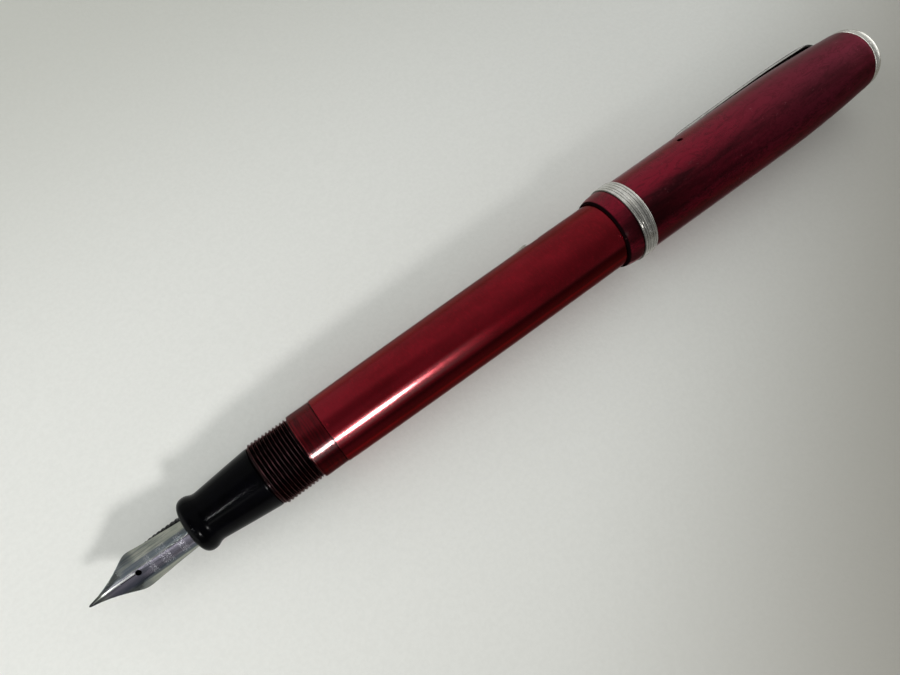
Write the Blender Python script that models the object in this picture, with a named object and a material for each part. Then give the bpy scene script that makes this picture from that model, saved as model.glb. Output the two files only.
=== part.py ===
"""Lever-filling fountain pen with its cap posted on the barrel's tail.

Every position is in millimetres along the pen's axis, rising from the nib to the crown, and every
radius is from that axis. The axis lies level along X, the nib towards -X. Angles around the axis are
polar degrees from +Y towards +Z.
"""
import math

import bmesh
import bpy
from mathutils import Vector

MM = 0.001
SEGMENTS = 32

# Driving dimensions.
PEN_FRONT = 0.7
PEN_REAR = 143.3
BAND_RADIUS = 6.35
AXIS_Y = -0.33
AXIS_Z = BAND_RADIUS
NIB_ANGLE = 123.5
LEVER_ANGLE = 8.0
CLIP_ANGLE = -8.0
VENT_ANGLE = 48.0

# Nib and feed.
NIB_TANG_END = 24.0
NIB_GAUGE = 0.28
HOLE_AT = 7.6
HOLE_RADIUS = 0.40
SLIT_HALF_WIDTH = 0.05
FEED_GAP = 0.06
FEED_START = 4.9
FEED_END = 33.0
FEED_BODY_RADIUS = 2.50
FEED_TOP_RADIUS = 2.06
FEED_UNDER_NIB = 2.18
FIN_START = 8.2
FIN_END = 14.8
FIN_PITCH = 0.66
FIN_RISE = 0.06
FIN_SLOT = 0.16
CHANNEL_DEPTH = 0.55

# Grip section.
SECTION_FRONT = 15.3
SECTION_SHOULDER = 26.6
SECTION_BORE = 2.65
TENON_RADIUS = 3.93
TENON_END = 34.2
NIPPLE_RADIUS = 2.45
NIPPLE_END = 40.5
NIPPLE_BORE = 1.5

# Barrel.
BARREL_FRONT = 26.7
BARREL_BORE = 4.0
THREAD_PITCH = 0.56
THREAD_TURNS = 11
THREAD_CREST = 4.84
THREAD_ROOT = 4.53
ZONE_START = 33.15
ZONE_END = 36.85
ZONE_RADIUS = 4.95
BARREL_TAIL = 107.3
TAIL_BORE = 3.5
TAIL_FLOOR = 104.5

# Lever, its pin and the pressure bar.
SLOT_FRONT = 47.6
SLOT_REAR = 76.1
SLOT_WIDTH = 2.5
LEVER_WIDTH = 2.2
LEVER_PIVOT = (51.0, 4.45)
PIN_RADIUS = 0.30
PIN_HALF_LENGTH = 1.95
PIN_GAP = 0.03
LEVER_HOLE_RADIUS = 0.36
RECESS_CENTRE = 76.95
RECESS_CUT_RADIUS = 2.6
RECESS_DEPTH = 0.42
RECESS_WIDTH = 3.6
BAR_FRONT = 42.0
BAR_PIVOT = (87.5, 3.445)
BAR_GAUGE = 0.35
BAR_WIDTH = 2.6
BAR_BEND_RADIUS = 0.85
BAR_FOOT_END = 83.6

# Ink sac.
SAC_FRONT = 36.0
SAC_REAR = 82.5
SAC_RADIUS = 3.0
SAC_WALL = 0.5

# Cap, its liner, band, clip and crown.
CAP_MOUTH = 86.96
CAP_END = 141.4
CAP_MOUTH_BORE = 5.48
CAP_BORE = 5.0
CAP_THREAD_CREST = 4.70
CAP_THREAD_START = 91.2
CAP_THREAD_TURNS = 8
CAP_SHOULDER = 137.1
PLUG_BORE = 4.2
BAND_FRONT = 89.78
BAND_REAR = 92.27
BAND_SEAT = 5.92
BAND_INNER = 5.97
VENT_AT = 105.0
VENT_RADIUS = 0.46
LINER_MOUTH = 108.1
LINER_END = 136.8
LINER_RADIUS = 4.93
LINER_BORE = 3.7
LINER_FLOOR = 126.0
CLIP_SLOT = (137.55, 139.15)
CLIP_SLOT_WIDTH = 3.9
CLIP_GAUGE = 0.5
CLIP_FOOT_AT = 138.6
CLIP_PIVOT = (138.6, 4.6)
PLUG_FRONT = 139.2
PLUG_REAR = 141.3
PLUG_RADIUS = 4.13
STUD_BORE = 1.30
STUD_RADIUS = 1.22
CROWN_FRONT = 141.5

RED = (0.36, 0.012, 0.035, 1.0)
NICKEL = (0.60, 0.59, 0.56, 1.0)
STEEL = (0.50, 0.50, 0.52, 1.0)
BLACK = (0.012, 0.012, 0.016, 1.0)
LATEX = (0.10, 0.075, 0.06, 1.0)


def material(name, colour, roughness, metallic):
    mat = bpy.data.materials.new(name)
    mat.use_nodes = True
    shader = mat.node_tree.nodes["Principled BSDF"]
    shader.inputs["Base Color"].default_value = colour
    shader.inputs["Roughness"].default_value = roughness
    shader.inputs["Metallic"].default_value = metallic
    return mat


def interpolate(table, at):
    """Straight-line value of a (position, value) rule at one position."""
    if at <= table[0][0]:
        return table[0][1]
    for (a, u), (b, v) in zip(table, table[1:]):
        if at <= b:
            return u + (v - u) * (at - a) / (b - a)
    return table[-1][1]


def outward(angle):
    """Unit vector away from the axis at a polar angle in degrees."""
    a = math.radians(angle)
    return Vector((0.0, math.cos(a), math.sin(a)))


def sideways(angle):
    """Unit vector around the pen at that angle: +X crossed with outward."""
    a = math.radians(angle)
    return Vector((0.0, -math.sin(a), math.cos(a)))


def along(s):
    return (s - (PEN_FRONT + PEN_REAR) / 2) * MM


def world_point(s, radius=0.0, angle=0.0, side=0.0):
    point = Vector((along(s), AXIS_Y * MM, AXIS_Z * MM))
    return point + outward(angle) * (radius * MM) + sideways(angle) * (side * MM)


def finish(bm, name, mat, origin, sharp=40.0):
    """Turns a bmesh in world metres into a named object whose own origin is at origin."""
    bmesh.ops.recalc_face_normals(bm, faces=bm.faces)
    bmesh.ops.translate(bm, verts=bm.verts, vec=-origin)
    mesh = bpy.data.meshes.new(name)
    bm.to_mesh(mesh)
    bm.free()
    mesh.materials.append(mat)
    mesh.shade_smooth()
    mesh.set_sharp_from_angle(angle=math.radians(sharp))
    obj = bpy.data.objects.new(name, mesh)
    obj.location = origin
    bpy.context.scene.collection.objects.link(obj)
    return obj


def turned(name, profile, mat, origin=None, closed=True, segments=SEGMENTS):
    """Spins a profile of (position, radius) about the axis. Facets touch the true radius, one facing down.

    A closed profile is a wall around the axis. An open one starts and ends on the axis.
    """
    bm = bmesh.new()
    start = -math.pi / 2 + math.pi / segments
    grow = 1.0 / math.cos(math.pi / segments)
    points = []
    for s, r in profile:
        y = AXIS_Y + r * grow * math.cos(start)
        z = AXIS_Z + r * grow * math.sin(start)
        points.append(bm.verts.new((along(s), y * MM, z * MM)))
    edges = [bm.edges.new(pair) for pair in zip(points, points[1:])]
    if closed:
        edges.append(bm.edges.new((points[-1], points[0])))
    bmesh.ops.spin(
        bm,
        geom=points + edges,
        cent=(0.0, AXIS_Y * MM, AXIS_Z * MM),
        axis=(1.0, 0.0, 0.0),
        angle=2 * math.pi,
        steps=segments,
        use_merge=True,
    )
    bmesh.ops.remove_doubles(bm, verts=bm.verts, dist=1e-7)
    return finish(bm, name, mat, origin or world_point(0.0))


def lofted(name, rings, mat, origin=None, sharp=40.0):
    """Skins closed rings of equal length, one after another, and caps both ends."""
    bm = bmesh.new()
    loops = [[bm.verts.new(p) for p in ring] for ring in rings]
    count = len(loops[0])
    for low, high in zip(loops, loops[1:]):
        for i in range(count):
            j = (i + 1) % count
            bm.faces.new((low[i], low[j], high[j], high[i]))
    bm.faces.new(loops[0])
    bm.faces.new(list(reversed(loops[-1])))
    return finish(bm, name, mat, origin or world_point(0.0), sharp)


def cutter(name, bm):
    bmesh.ops.recalc_face_normals(bm, faces=bm.faces)
    mesh = bpy.data.meshes.new(name)
    bm.to_mesh(mesh)
    bm.free()
    obj = bpy.data.objects.new(name, mesh)
    obj.display_type = "WIRE"
    obj.hide_render = True
    bpy.context.scene.collection.objects.link(obj)
    return obj


def box_cutter(name, span, radii, width, angle):
    """Box across a wall: span along the pen, radii from the axis, width around it."""
    bm = bmesh.new()
    ring = []
    for s, r in ((span[0], radii[0]), (span[1], radii[0]), (span[1], radii[1]), (span[0], radii[1])):
        ring.append(bm.verts.new(world_point(s, r, angle, -width / 2)))
    face = bm.faces.new(ring)
    grown = bmesh.ops.extrude_face_region(bm, geom=[face])["geom"]
    moved = [g for g in grown if isinstance(g, bmesh.types.BMVert)]
    bmesh.ops.translate(bm, verts=moved, vec=sideways(angle) * (width * MM))
    return cutter(name, bm)


def rod(bm, start, end, radius, sides=12):
    """Round bar between two points, added to a bmesh."""
    axis = (end - start).normalized()
    across = axis.orthogonal().normalized()
    up = axis.cross(across)
    ring = []
    for i in range(sides):
        a = 2 * math.pi * i / sides
        ring.append(bm.verts.new(start + (across * math.cos(a) + up * math.sin(a)) * radius))
    face = bm.faces.new(ring)
    grown = bmesh.ops.extrude_face_region(bm, geom=[face])["geom"]
    moved = [g for g in grown if isinstance(g, bmesh.types.BMVert)]
    bmesh.ops.translate(bm, verts=moved, vec=end - start)


def rod_cutter(name, start, end, radius, sides=12):
    bm = bmesh.new()
    rod(bm, start, end, radius, sides)
    return cutter(name, bm)


def subtract(obj, tool):
    mod = obj.modifiers.new("cut_" + tool.name, "BOOLEAN")
    mod.operation = "DIFFERENCE"
    mod.solver = "EXACT"
    mod.object = tool


def v_thread(start, turns, first, second):
    """Profile of a V thread cut as rings: alternates between two radii, half a pitch apart."""
    points = []
    for i in range(turns):
        points.append((start + THREAD_PITCH * i, first))
        points.append((start + THREAD_PITCH * (i + 0.5), second))
    points.append((start + THREAD_PITCH * turns, first))
    return points


# Nib: a curved sheet. The height of its ridge and of its edges, and its half width, follow these rules.
NIB_RIDGE = [(0.7, 1.99), (2.5, 1.99), (4.8, 2.00), (6.5, 2.06), (7.6, 2.15), (9.0, 2.26), (11.0, 2.40),
             (13.0, 2.49), (15.0, 2.54), (24.0, 2.55)]
NIB_EDGE = [(0.7, 1.96), (1.2, 1.96), (2.0, 1.94), (3.0, 1.90), (4.0, 1.86), (5.0, 1.82), (6.0, 1.72),
            (6.6, 1.56), (7.0, 1.37), (7.4, 1.23), (8.0, 1.20), (9.0, 1.25), (10.0, 1.30), (12.0, 1.28),
            (14.0, 1.34), (15.0, 1.36), (24.0, 1.36)]
NIB_HALF = [(0.7, 0.09), (0.85, 0.15), (1.2, 0.20), (2.0, 0.38), (3.0, 0.70), (4.0, 1.09), (5.0, 1.56),
            (6.0, 2.11), (6.6, 2.47), (7.0, 2.67), (7.4, 2.76), (7.8, 2.77), (8.4, 2.71), (9.0, 2.64),
            (10.0, 2.55), (11.0, 2.46), (12.0, 2.38), (13.0, 2.30), (14.0, 2.23), (15.0, 2.16), (24.0, 2.14)]
NIB_SHEET = [(0.7, 0.34), (0.9, 0.44), (1.3, 0.44), (1.8, 0.34), (3.0, 0.30), (24.0, NIB_GAUGE)]


def nib_arc(s):
    """Radius of the nib's cross-section and the height of that arc's centre, from ridge, edge and width."""
    ridge = interpolate(NIB_RIDGE, s)
    sagitta = ridge - interpolate(NIB_EDGE, s)
    half = interpolate(NIB_HALF, s)
    curve = (half * half + sagitta * sagitta) / (2 * sagitta)
    return curve, ridge - curve


def slit_half_width(s):
    """Half the open width at the middle of the nib: the slit, then the breather hole, then none."""
    reach = HOLE_RADIUS ** 2 - (s - HOLE_AT) ** 2
    if reach > 0:
        return max(math.sqrt(reach), SLIT_HALF_WIDTH if s < HOLE_AT else 0.0)
    return SLIT_HALF_WIDTH if s < HOLE_AT else 0.0


def nib_stations():
    """Positions of the nib's rows, closer together around the breather hole."""
    front = [PEN_FRONT, 0.85, 1.2, 1.6, 2.0, 3.0, 4.0, 5.0, 6.0, 6.6, 7.0]
    hole = [HOLE_AT - HOLE_RADIUS * math.cos(math.pi * k / 8) for k in range(9)]
    rear = [8.4, 9.0, 10.0, 11.0, 12.0, 13.0, 15.0, 20.0, NIB_TANG_END]
    return front + hole + rear


def build_nib(mat):
    bm = bmesh.new()
    columns = 6
    rows = []
    for s in nib_stations():
        curve, centre = nib_arc(s)
        sheet = interpolate(NIB_SHEET, s)
        edge = math.asin(interpolate(NIB_HALF, s) / curve)
        opening = slit_half_width(s)
        row = {}
        for side in (-1, 1):
            for j in range(columns + 1):
                if j == 0 and opening == 0.0 and side == 1:
                    row[(side, 0)] = row[(-1, 0)]
                    continue
                first = math.asin(opening / curve)
                angle = side * (first + (edge - first) * j / columns)
                pair = []
                side_to = curve * math.sin(angle)
                height = centre + curve * math.cos(angle)
                for drop in (0.0, sheet):
                    lean = drop * math.sin(angle)
                    lower = height - drop * math.cos(angle)
                    pair.append(bm.verts.new(world_point(s, lower, NIB_ANGLE, side_to - lean)))
                row[(side, j)] = pair
        rows.append((row, opening))
    for (low, gap_low), (high, gap_high) in zip(rows, rows[1:]):
        for side in (-1, 1):
            for j in range(columns):
                a, b = low[(side, j)], low[(side, j + 1)]
                c, d = high[(side, j + 1)], high[(side, j)]
                bm.faces.new((a[0], b[0], c[0], d[0]))
                bm.faces.new((d[1], c[1], b[1], a[1]))
            a, d = low[(side, columns)], high[(side, columns)]
            bm.faces.new((a[0], a[1], d[1], d[0]))
            if gap_low > 0 or gap_high > 0:
                a, d = low[(side, 0)], high[(side, 0)]
                bm.faces.new((d[0], d[1], a[1], a[0]))
    for row, _ in (rows[0], rows[-1]):
        for side in (-1, 1):
            for j in range(columns):
                a, b = row[(side, j)], row[(side, j + 1)]
                bm.faces.new((a[0], a[1], b[1], b[0]))
    return finish(bm, "nib", mat, world_point(0.0))


# Feed: the front narrows to a beak that follows the nib's underside.
FEED_BEAK = [(4.9, 0.32), (5.6, 0.62), (6.5, 1.00), (7.6, 1.45), (9.0, 1.86), (10.5, 2.02),
             (12.0, FEED_TOP_RADIUS), (24.3, FEED_TOP_RADIUS)]

# Directions of the corners of its cross-section, in degrees from the nib's ridge.
FEED_CORNERS = (-9, -8, 8, 9, 30, 50, 68, 72, 92, 112, 134, 156,
                180, 204, 226, 248, 268, 288, 292, 310, 330)


def feed_stations():
    rows = [4.9, 5.2, 5.6, 6.2, 6.8, 7.4]
    count = int(round((FIN_END - FIN_START) / FIN_PITCH))
    for i in range(count):
        base = FIN_START + FIN_PITCH * i
        rows += [base, base + 0.04, base + 0.30, base + 0.34]
    return rows + [15.0, 15.04, 24.3, 24.34, FEED_END]


def feed_ring(s):
    """One cross-section of the feed, with the ink channel on top and the fins below."""
    in_fins = FIN_START <= s <= FIN_END
    phase = (s - FIN_START) % FIN_PITCH
    on_fin = in_fins and 0.02 < phase < 0.32
    behind_fins = s >= 15.02
    full_round = s >= 24.32
    body = interpolate(FEED_BEAK, s)
    under_nib = interpolate(NIB_RIDGE, s) - interpolate(NIB_SHEET, s) - FEED_GAP
    centre = max(0.0, under_nib - body) if s < 10.5 else 0.0
    ring = []
    for degrees in FEED_CORNERS:
        from_top = abs(degrees) if degrees <= 180 else 360 - degrees
        radius = body
        if from_top > 70:
            if in_fins:
                radius = body + FIN_RISE if on_fin else body - FIN_SLOT
            elif behind_fins:
                radius = FEED_BODY_RADIUS
        elif behind_fins:
            radius = FEED_UNDER_NIB
        if full_round:
            radius = FEED_BODY_RADIUS
        if from_top <= 8.5:
            radius -= min(CHANNEL_DEPTH, 0.4 * body)
        a = math.radians(degrees)
        ring.append(world_point(s, centre + radius * math.cos(a), NIB_ANGLE, radius * math.sin(a)))
    return ring


def strip_ring(s, r, direction, width, gauge, angle, dome=0.25):
    """Cross-section of a bent strip whose centre is at (s, r) and which runs along direction."""
    norm_s, norm_r = -direction[1], direction[0]
    ring = []
    for side, lift in ((-1, -0.5), (1, -0.5), (1, 0.5 - dome), (0.55, 0.5), (-0.55, 0.5), (-1, 0.5 - dome)):
        ds = norm_s * lift * gauge
        dr = norm_r * lift * gauge
        ring.append(world_point(s + ds, r + dr, angle, side * width / 2))
    return ring


def strip(name, path, mat, angle, origin, dome=0.25):
    """Bent strip through path points (position, radius, width, gauge); its left-hand side is domed."""
    rings = []
    for i, (s, r, width, gauge) in enumerate(path):
        before = path[max(i - 1, 0)]
        after = path[min(i + 1, len(path) - 1)]
        ds, dr = after[0] - before[0], after[1] - before[1]
        size = math.hypot(ds, dr)
        rings.append(strip_ring(s, r, (ds / size, dr / size), width, gauge, angle, dome))
    return lofted(name, rings, mat, origin)


# Clip outside the cap: position, centre radius and width.
CLIP_LINE = [(136.0, 6.38, 3.4), (134.4, 6.46, 3.4), (131.6, 6.55, 3.35), (127.7, 6.60, 3.25),
             (123.9, 6.585, 3.1), (120.2, 6.56, 2.95), (113.0, 6.485, 2.55), (109.9, 6.45, 2.35)]


def clip_path():
    """From the foot inside the cap, out through the slot, over the shoulder and along to the tip."""
    path = [(CLIP_FOOT_AT, 3.0, 3.4, CLIP_GAUGE), (CLIP_FOOT_AT, 4.3, 3.4, CLIP_GAUGE)]
    steps = 5
    for i in range(steps):
        a = math.pi / 2 * i / steps
        s = CLIP_FOOT_AT - 2.0 * (1 - math.cos(a))
        r = 5.15 + 1.19 * math.sin(a)
        path.append((s, r, 3.4, CLIP_GAUGE))
    path += [(s, r, width, CLIP_GAUGE) for s, r, width in CLIP_LINE]
    path += [(109.2, 6.45, 2.2, CLIP_GAUGE), (108.7, 6.455, 1.8, 0.46), (108.45, 6.46, 1.2, 0.36)]
    return path


def bar_path():
    """Pressure bar: straight under the lever, bent back on itself at the tail end."""
    r = BAR_PIVOT[1]
    path = [(BAR_FRONT, r, 1.8, BAR_GAUGE), (BAR_FRONT + 0.8, r, BAR_WIDTH, BAR_GAUGE),
            (60.0, r, BAR_WIDTH, BAR_GAUGE), (78.0, r, BAR_WIDTH, BAR_GAUGE),
            (BAR_PIVOT[0], r, BAR_WIDTH, BAR_GAUGE)]
    steps = 6
    for i in range(1, steps + 1):
        a = math.pi * i / steps
        s = BAR_PIVOT[0] + BAR_BEND_RADIUS * math.sin(a)
        path.append((s, r - BAR_BEND_RADIUS * (1 - math.cos(a)), BAR_WIDTH, BAR_GAUGE))
    path.append((BAR_FOOT_END, r - 2 * BAR_BEND_RADIUS - 0.1, BAR_WIDTH, BAR_GAUGE))
    return path


def build_lever(mat):
    """Flat lever: side outline extruded across its width, with the raised tab at its free end."""
    outline = [(48.40, 4.15), (48.55, 4.05), (50.2, 4.02), (51.8, 4.02), (52.8, 4.38), (60.0, 4.42),
               (74.8, 4.50), (75.4, 4.98), (75.7, 5.30), (75.88, 5.46), (75.88, 5.62), (75.60, 5.68),
               (75.00, 5.66), (73.90, 5.54), (72.4, 5.44), (66.0, 5.42), (58.0, 5.34), (52.0, 5.26),
               (49.6, 5.10), (48.5, 4.90), (48.40, 4.60)]
    bm = bmesh.new()
    ring = [bm.verts.new(world_point(s, r, LEVER_ANGLE, -LEVER_WIDTH / 2)) for s, r in outline]
    face = bm.faces.new(ring)
    grown = bmesh.ops.extrude_face_region(bm, geom=[face])["geom"]
    moved = [g for g in grown if isinstance(g, bmesh.types.BMVert)]
    bmesh.ops.translate(bm, verts=moved, vec=sideways(LEVER_ANGLE) * (LEVER_WIDTH * MM))
    pivot = world_point(LEVER_PIVOT[0], LEVER_PIVOT[1], LEVER_ANGLE)
    lever = finish(bm, "lever", mat, pivot)
    bevel = lever.modifiers.new("soften", "BEVEL")
    bevel.width = 0.14 * MM
    bevel.segments = 1
    bevel.limit_method = "ANGLE"
    bevel.angle_limit = math.radians(60)
    start = world_point(LEVER_PIVOT[0], LEVER_PIVOT[1], LEVER_ANGLE, -LEVER_WIDTH)
    end = world_point(LEVER_PIVOT[0], LEVER_PIVOT[1], LEVER_ANGLE, LEVER_WIDTH)
    subtract(lever, rod_cutter("lever_pin_bore", start, end, LEVER_HOLE_RADIUS * MM, 16))
    return lever


def build_pin(mat):
    bm = bmesh.new()
    start = world_point(LEVER_PIVOT[0], LEVER_PIVOT[1], LEVER_ANGLE, -PIN_HALF_LENGTH)
    end = world_point(LEVER_PIVOT[0], LEVER_PIVOT[1], LEVER_ANGLE, PIN_HALF_LENGTH)
    rod(bm, start, end, PIN_RADIUS * MM, 12)
    return finish(bm, "lever_pin", mat, world_point(LEVER_PIVOT[0], LEVER_PIVOT[1], LEVER_ANGLE))


def build_section(mat):
    lip = [(15.34, 2.75), (SECTION_FRONT, 3.10), (15.36, 3.48), (15.58, 3.80), (15.92, 3.99), (16.35, 4.05),
           (16.80, 3.99), (17.15, 3.84), (17.50, 3.70), (17.90, 3.645), (18.40, 3.68)]
    cone = [(20.8, 3.95), (23.4, 4.24), (25.9, 4.50), (26.45, 4.54), (SECTION_SHOULDER, 4.50)]
    tenon = [(SECTION_SHOULDER, TENON_RADIUS), (TENON_END - 0.3, TENON_RADIUS),
             (TENON_END, TENON_RADIUS - 0.3), (TENON_END, NIPPLE_RADIUS),
             (NIPPLE_END - 0.2, NIPPLE_RADIUS), (NIPPLE_END, NIPPLE_RADIUS - 0.2)]
    bore = [(NIPPLE_END, NIPPLE_BORE), (FEED_END + 0.2, NIPPLE_BORE), (FEED_END + 0.2, SECTION_BORE),
            (SECTION_FRONT + 0.2, SECTION_BORE)]
    return turned("grip_section", lip + cone + tenon + bore, mat)


def build_barrel(mat):
    thread = v_thread(BARREL_FRONT + 0.05, THREAD_TURNS, THREAD_ROOT, THREAD_CREST)
    zone = [(ZONE_START, THREAD_ROOT), (ZONE_START + 0.06, ZONE_RADIUS), (ZONE_END - 0.12, ZONE_RADIUS),
            (ZONE_END - 0.06, ZONE_RADIUS - 0.06), (ZONE_END, ZONE_RADIUS - 0.02), (ZONE_END + 0.05, 5.04)]
    body = [(46.0, 5.20), (58.0, 5.33), (70.0, 5.40), (80.0, 5.42), (87.4, 5.42)]
    tail = [(88.3, 5.28), (89.5, 4.92), (90.7, 4.61), (97.0, 4.48), (103.0, 4.22), (105.6, 3.92),
            (106.8, 3.40), (BARREL_TAIL, 2.70), (BARREL_TAIL, 0.0)]
    hollow = [(TAIL_FLOOR, 0.0), (TAIL_FLOOR, TAIL_BORE - 0.6), (TAIL_FLOOR - 0.6, TAIL_BORE),
              (92.0, TAIL_BORE), (89.2, BARREL_BORE), (BARREL_FRONT, BARREL_BORE)]
    profile = hollow + [(BARREL_FRONT, THREAD_ROOT)] + thread + zone + body + tail
    barrel = turned("barrel", profile, mat, closed=False)
    subtract(barrel, box_cutter("lever_slot", (SLOT_FRONT, SLOT_REAR), (2.6, 7.0), SLOT_WIDTH, LEVER_ANGLE))
    height = 5.41 - RECESS_DEPTH + RECESS_CUT_RADIUS
    start = world_point(RECESS_CENTRE, height, LEVER_ANGLE, -RECESS_WIDTH / 2)
    end = world_point(RECESS_CENTRE, height, LEVER_ANGLE, RECESS_WIDTH / 2)
    subtract(barrel, rod_cutter("thumbnail_recess", start, end, RECESS_CUT_RADIUS * MM, 32))
    reach = PIN_HALF_LENGTH + 0.05
    start = world_point(LEVER_PIVOT[0], LEVER_PIVOT[1], LEVER_ANGLE, -reach)
    end = world_point(LEVER_PIVOT[0], LEVER_PIVOT[1], LEVER_ANGLE, reach)
    subtract(barrel, rod_cutter("pin_hole", start, end, (PIN_RADIUS + PIN_GAP) * MM, 12))
    return barrel


def build_cap(mat):
    lip = [(CAP_MOUTH, 5.52), (CAP_MOUTH, 5.62), (87.15, 5.75), (87.8, 5.94), (88.6, 6.06), (89.4, 6.11),
           (BAND_FRONT - 0.06, 6.12)]
    seat = [(BAND_FRONT - 0.06, BAND_SEAT), (BAND_REAR + 0.06, BAND_SEAT)]
    body = [(BAND_REAR + 0.06, 6.08), (96.0, 6.10), (107.0, 6.16), (116.0, 6.21), (123.0, 6.22),
            (126.5, 6.17), (129.4, 6.06), (133.3, 5.87), (136.3, 5.68), (138.6, 5.49), (140.8, 5.33),
            (CAP_END, 5.25)]
    end = [(CAP_END, PLUG_BORE), (CAP_SHOULDER, PLUG_BORE), (CAP_SHOULDER, CAP_BORE)]
    thread = v_thread(CAP_THREAD_START, CAP_THREAD_TURNS, CAP_BORE - 0.02, CAP_THREAD_CREST)
    mouth = [(90.5, CAP_MOUTH_BORE), (CAP_MOUTH + 0.15, CAP_MOUTH_BORE)]
    profile = lip + seat + body + end + list(reversed(thread)) + mouth
    cap = turned("cap_shell", profile, mat)
    subtract(cap, box_cutter("clip_slot", CLIP_SLOT, (3.4, 7.0), CLIP_SLOT_WIDTH, CLIP_ANGLE))
    start = world_point(VENT_AT, 4.0, VENT_ANGLE)
    end = world_point(VENT_AT, 7.0, VENT_ANGLE)
    subtract(cap, rod_cutter("vent_hole", start, end, VENT_RADIUS * MM, 10))
    return cap


def build_band(mat):
    profile = [(BAND_FRONT, BAND_INNER), (BAND_FRONT, 6.22), (BAND_FRONT + 0.14, 6.33),
               (BAND_FRONT + 0.45, 6.35)]
    for centre in (90.72, 91.33):
        profile += [(centre - 0.08, 6.35), (centre, 6.28), (centre + 0.08, 6.35)]
    profile += [(BAND_REAR - 0.45, 6.35), (BAND_REAR - 0.14, 6.33), (BAND_REAR, 6.22),
                (BAND_REAR, BAND_INNER)]
    return turned("cap_band", profile, mat)


def build_liner(mat):
    profile = [(LINER_MOUTH, LINER_BORE + 0.12), (LINER_MOUTH, LINER_RADIUS - 0.2),
               (LINER_MOUTH + 0.2, LINER_RADIUS), (LINER_END, LINER_RADIUS), (LINER_END, LINER_BORE - 0.1),
               (LINER_FLOOR + 2.0, LINER_BORE - 0.1), (LINER_FLOOR + 2.0, 0.0)]
    hollow = [(LINER_FLOOR, 0.0), (LINER_FLOOR, LINER_BORE - 0.5), (LINER_FLOOR - 0.5, LINER_BORE),
              (LINER_MOUTH + 0.15, LINER_BORE)]
    return turned("inner_cap", hollow + profile, mat, closed=False)


def build_plug(mat):
    profile = [(PLUG_FRONT, STUD_BORE), (PLUG_FRONT, PLUG_RADIUS - 0.25), (PLUG_FRONT + 0.25, PLUG_RADIUS),
               (PLUG_REAR, PLUG_RADIUS), (PLUG_REAR, STUD_BORE)]
    return turned("crown_plug", profile, mat)


def build_crown(mat):
    profile = [(PLUG_FRONT + 0.4, 0.0), (PLUG_FRONT + 0.4, STUD_RADIUS - 0.2),
               (PLUG_FRONT + 0.6, STUD_RADIUS), (CROWN_FRONT, STUD_RADIUS), (CROWN_FRONT, 5.12),
               (CROWN_FRONT + 0.15, 5.24), (142.2, 5.24), (142.7, 5.12), (143.05, 4.85), (143.25, 4.46),
               (PEN_REAR, 4.05), (PEN_REAR, 0.0)]
    return turned("crown_disc", profile, mat, closed=False)


def build_sac(mat):
    rear = SAC_REAR - SAC_RADIUS
    outer = [(SAC_FRONT, SAC_RADIUS)]
    inner = [(SAC_FRONT, SAC_RADIUS - SAC_WALL)]
    steps = 4
    for i in range(steps):
        a = math.pi / 2 * i / steps
        outer.append((rear + SAC_RADIUS * math.sin(a), SAC_RADIUS * math.cos(a)))
        hollow = SAC_RADIUS - SAC_WALL
        inner.append((rear + hollow * math.sin(a), hollow * math.cos(a)))
    outer.append((SAC_REAR, 0.0))
    inner.append((rear + SAC_RADIUS - SAC_WALL, 0.0))
    return turned("ink_sac", list(reversed(inner)) + outer, mat, closed=False)


def main():
    for obj in list(bpy.data.objects):
        bpy.data.objects.remove(obj, do_unlink=True)
    steel = material("nib_steel", STEEL, 0.25, 1.0)
    build_nib(steel)
    lofted("feed", [feed_ring(s) for s in feed_stations()], material("feed_rubber", BLACK, 0.45, 0.0))
    build_section(material("section_gloss", BLACK, 0.12, 0.0))
    build_barrel(material("barrel_red", RED, 0.3, 0.55))
    build_lever(material("lever_metal", NICKEL, 0.3, 1.0))
    build_pin(material("pin_metal", STEEL, 0.35, 1.0))
    pivot = world_point(BAR_PIVOT[0], BAR_PIVOT[1], LEVER_ANGLE)
    strip("pressure_bar", bar_path(), material("bar_steel", STEEL, 0.4, 1.0), LEVER_ANGLE, pivot, 0.0)
    build_sac(material("sac_latex", LATEX, 0.7, 0.0))
    build_cap(material("cap_red", RED, 0.35, 0.55))
    build_band(material("band_nickel", NICKEL, 0.35, 1.0))
    build_liner(material("liner_black", BLACK, 0.5, 0.0))
    pivot = world_point(CLIP_PIVOT[0], CLIP_PIVOT[1], CLIP_ANGLE)
    strip("pocket_clip", clip_path(), material("clip_nickel", NICKEL, 0.25, 1.0), CLIP_ANGLE, pivot)
    build_plug(material("plug_black", BLACK, 0.5, 0.0))
    build_crown(material("crown_nickel", NICKEL, 0.25, 1.0))


main()
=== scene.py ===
"""Looks of the lever-filling fountain pen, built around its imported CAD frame.

Positions along the pen are millimetres rising from the nib to the crown, radii are millimetres from
the pen's axis, and angles around it are polar degrees from +Y towards +Z, as in the CAD source.
"""
from math import asin, cos, dist, hypot, pi, radians, sin, sqrt

import bmesh
import bpy
from mathutils import Matrix, Vector


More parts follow.
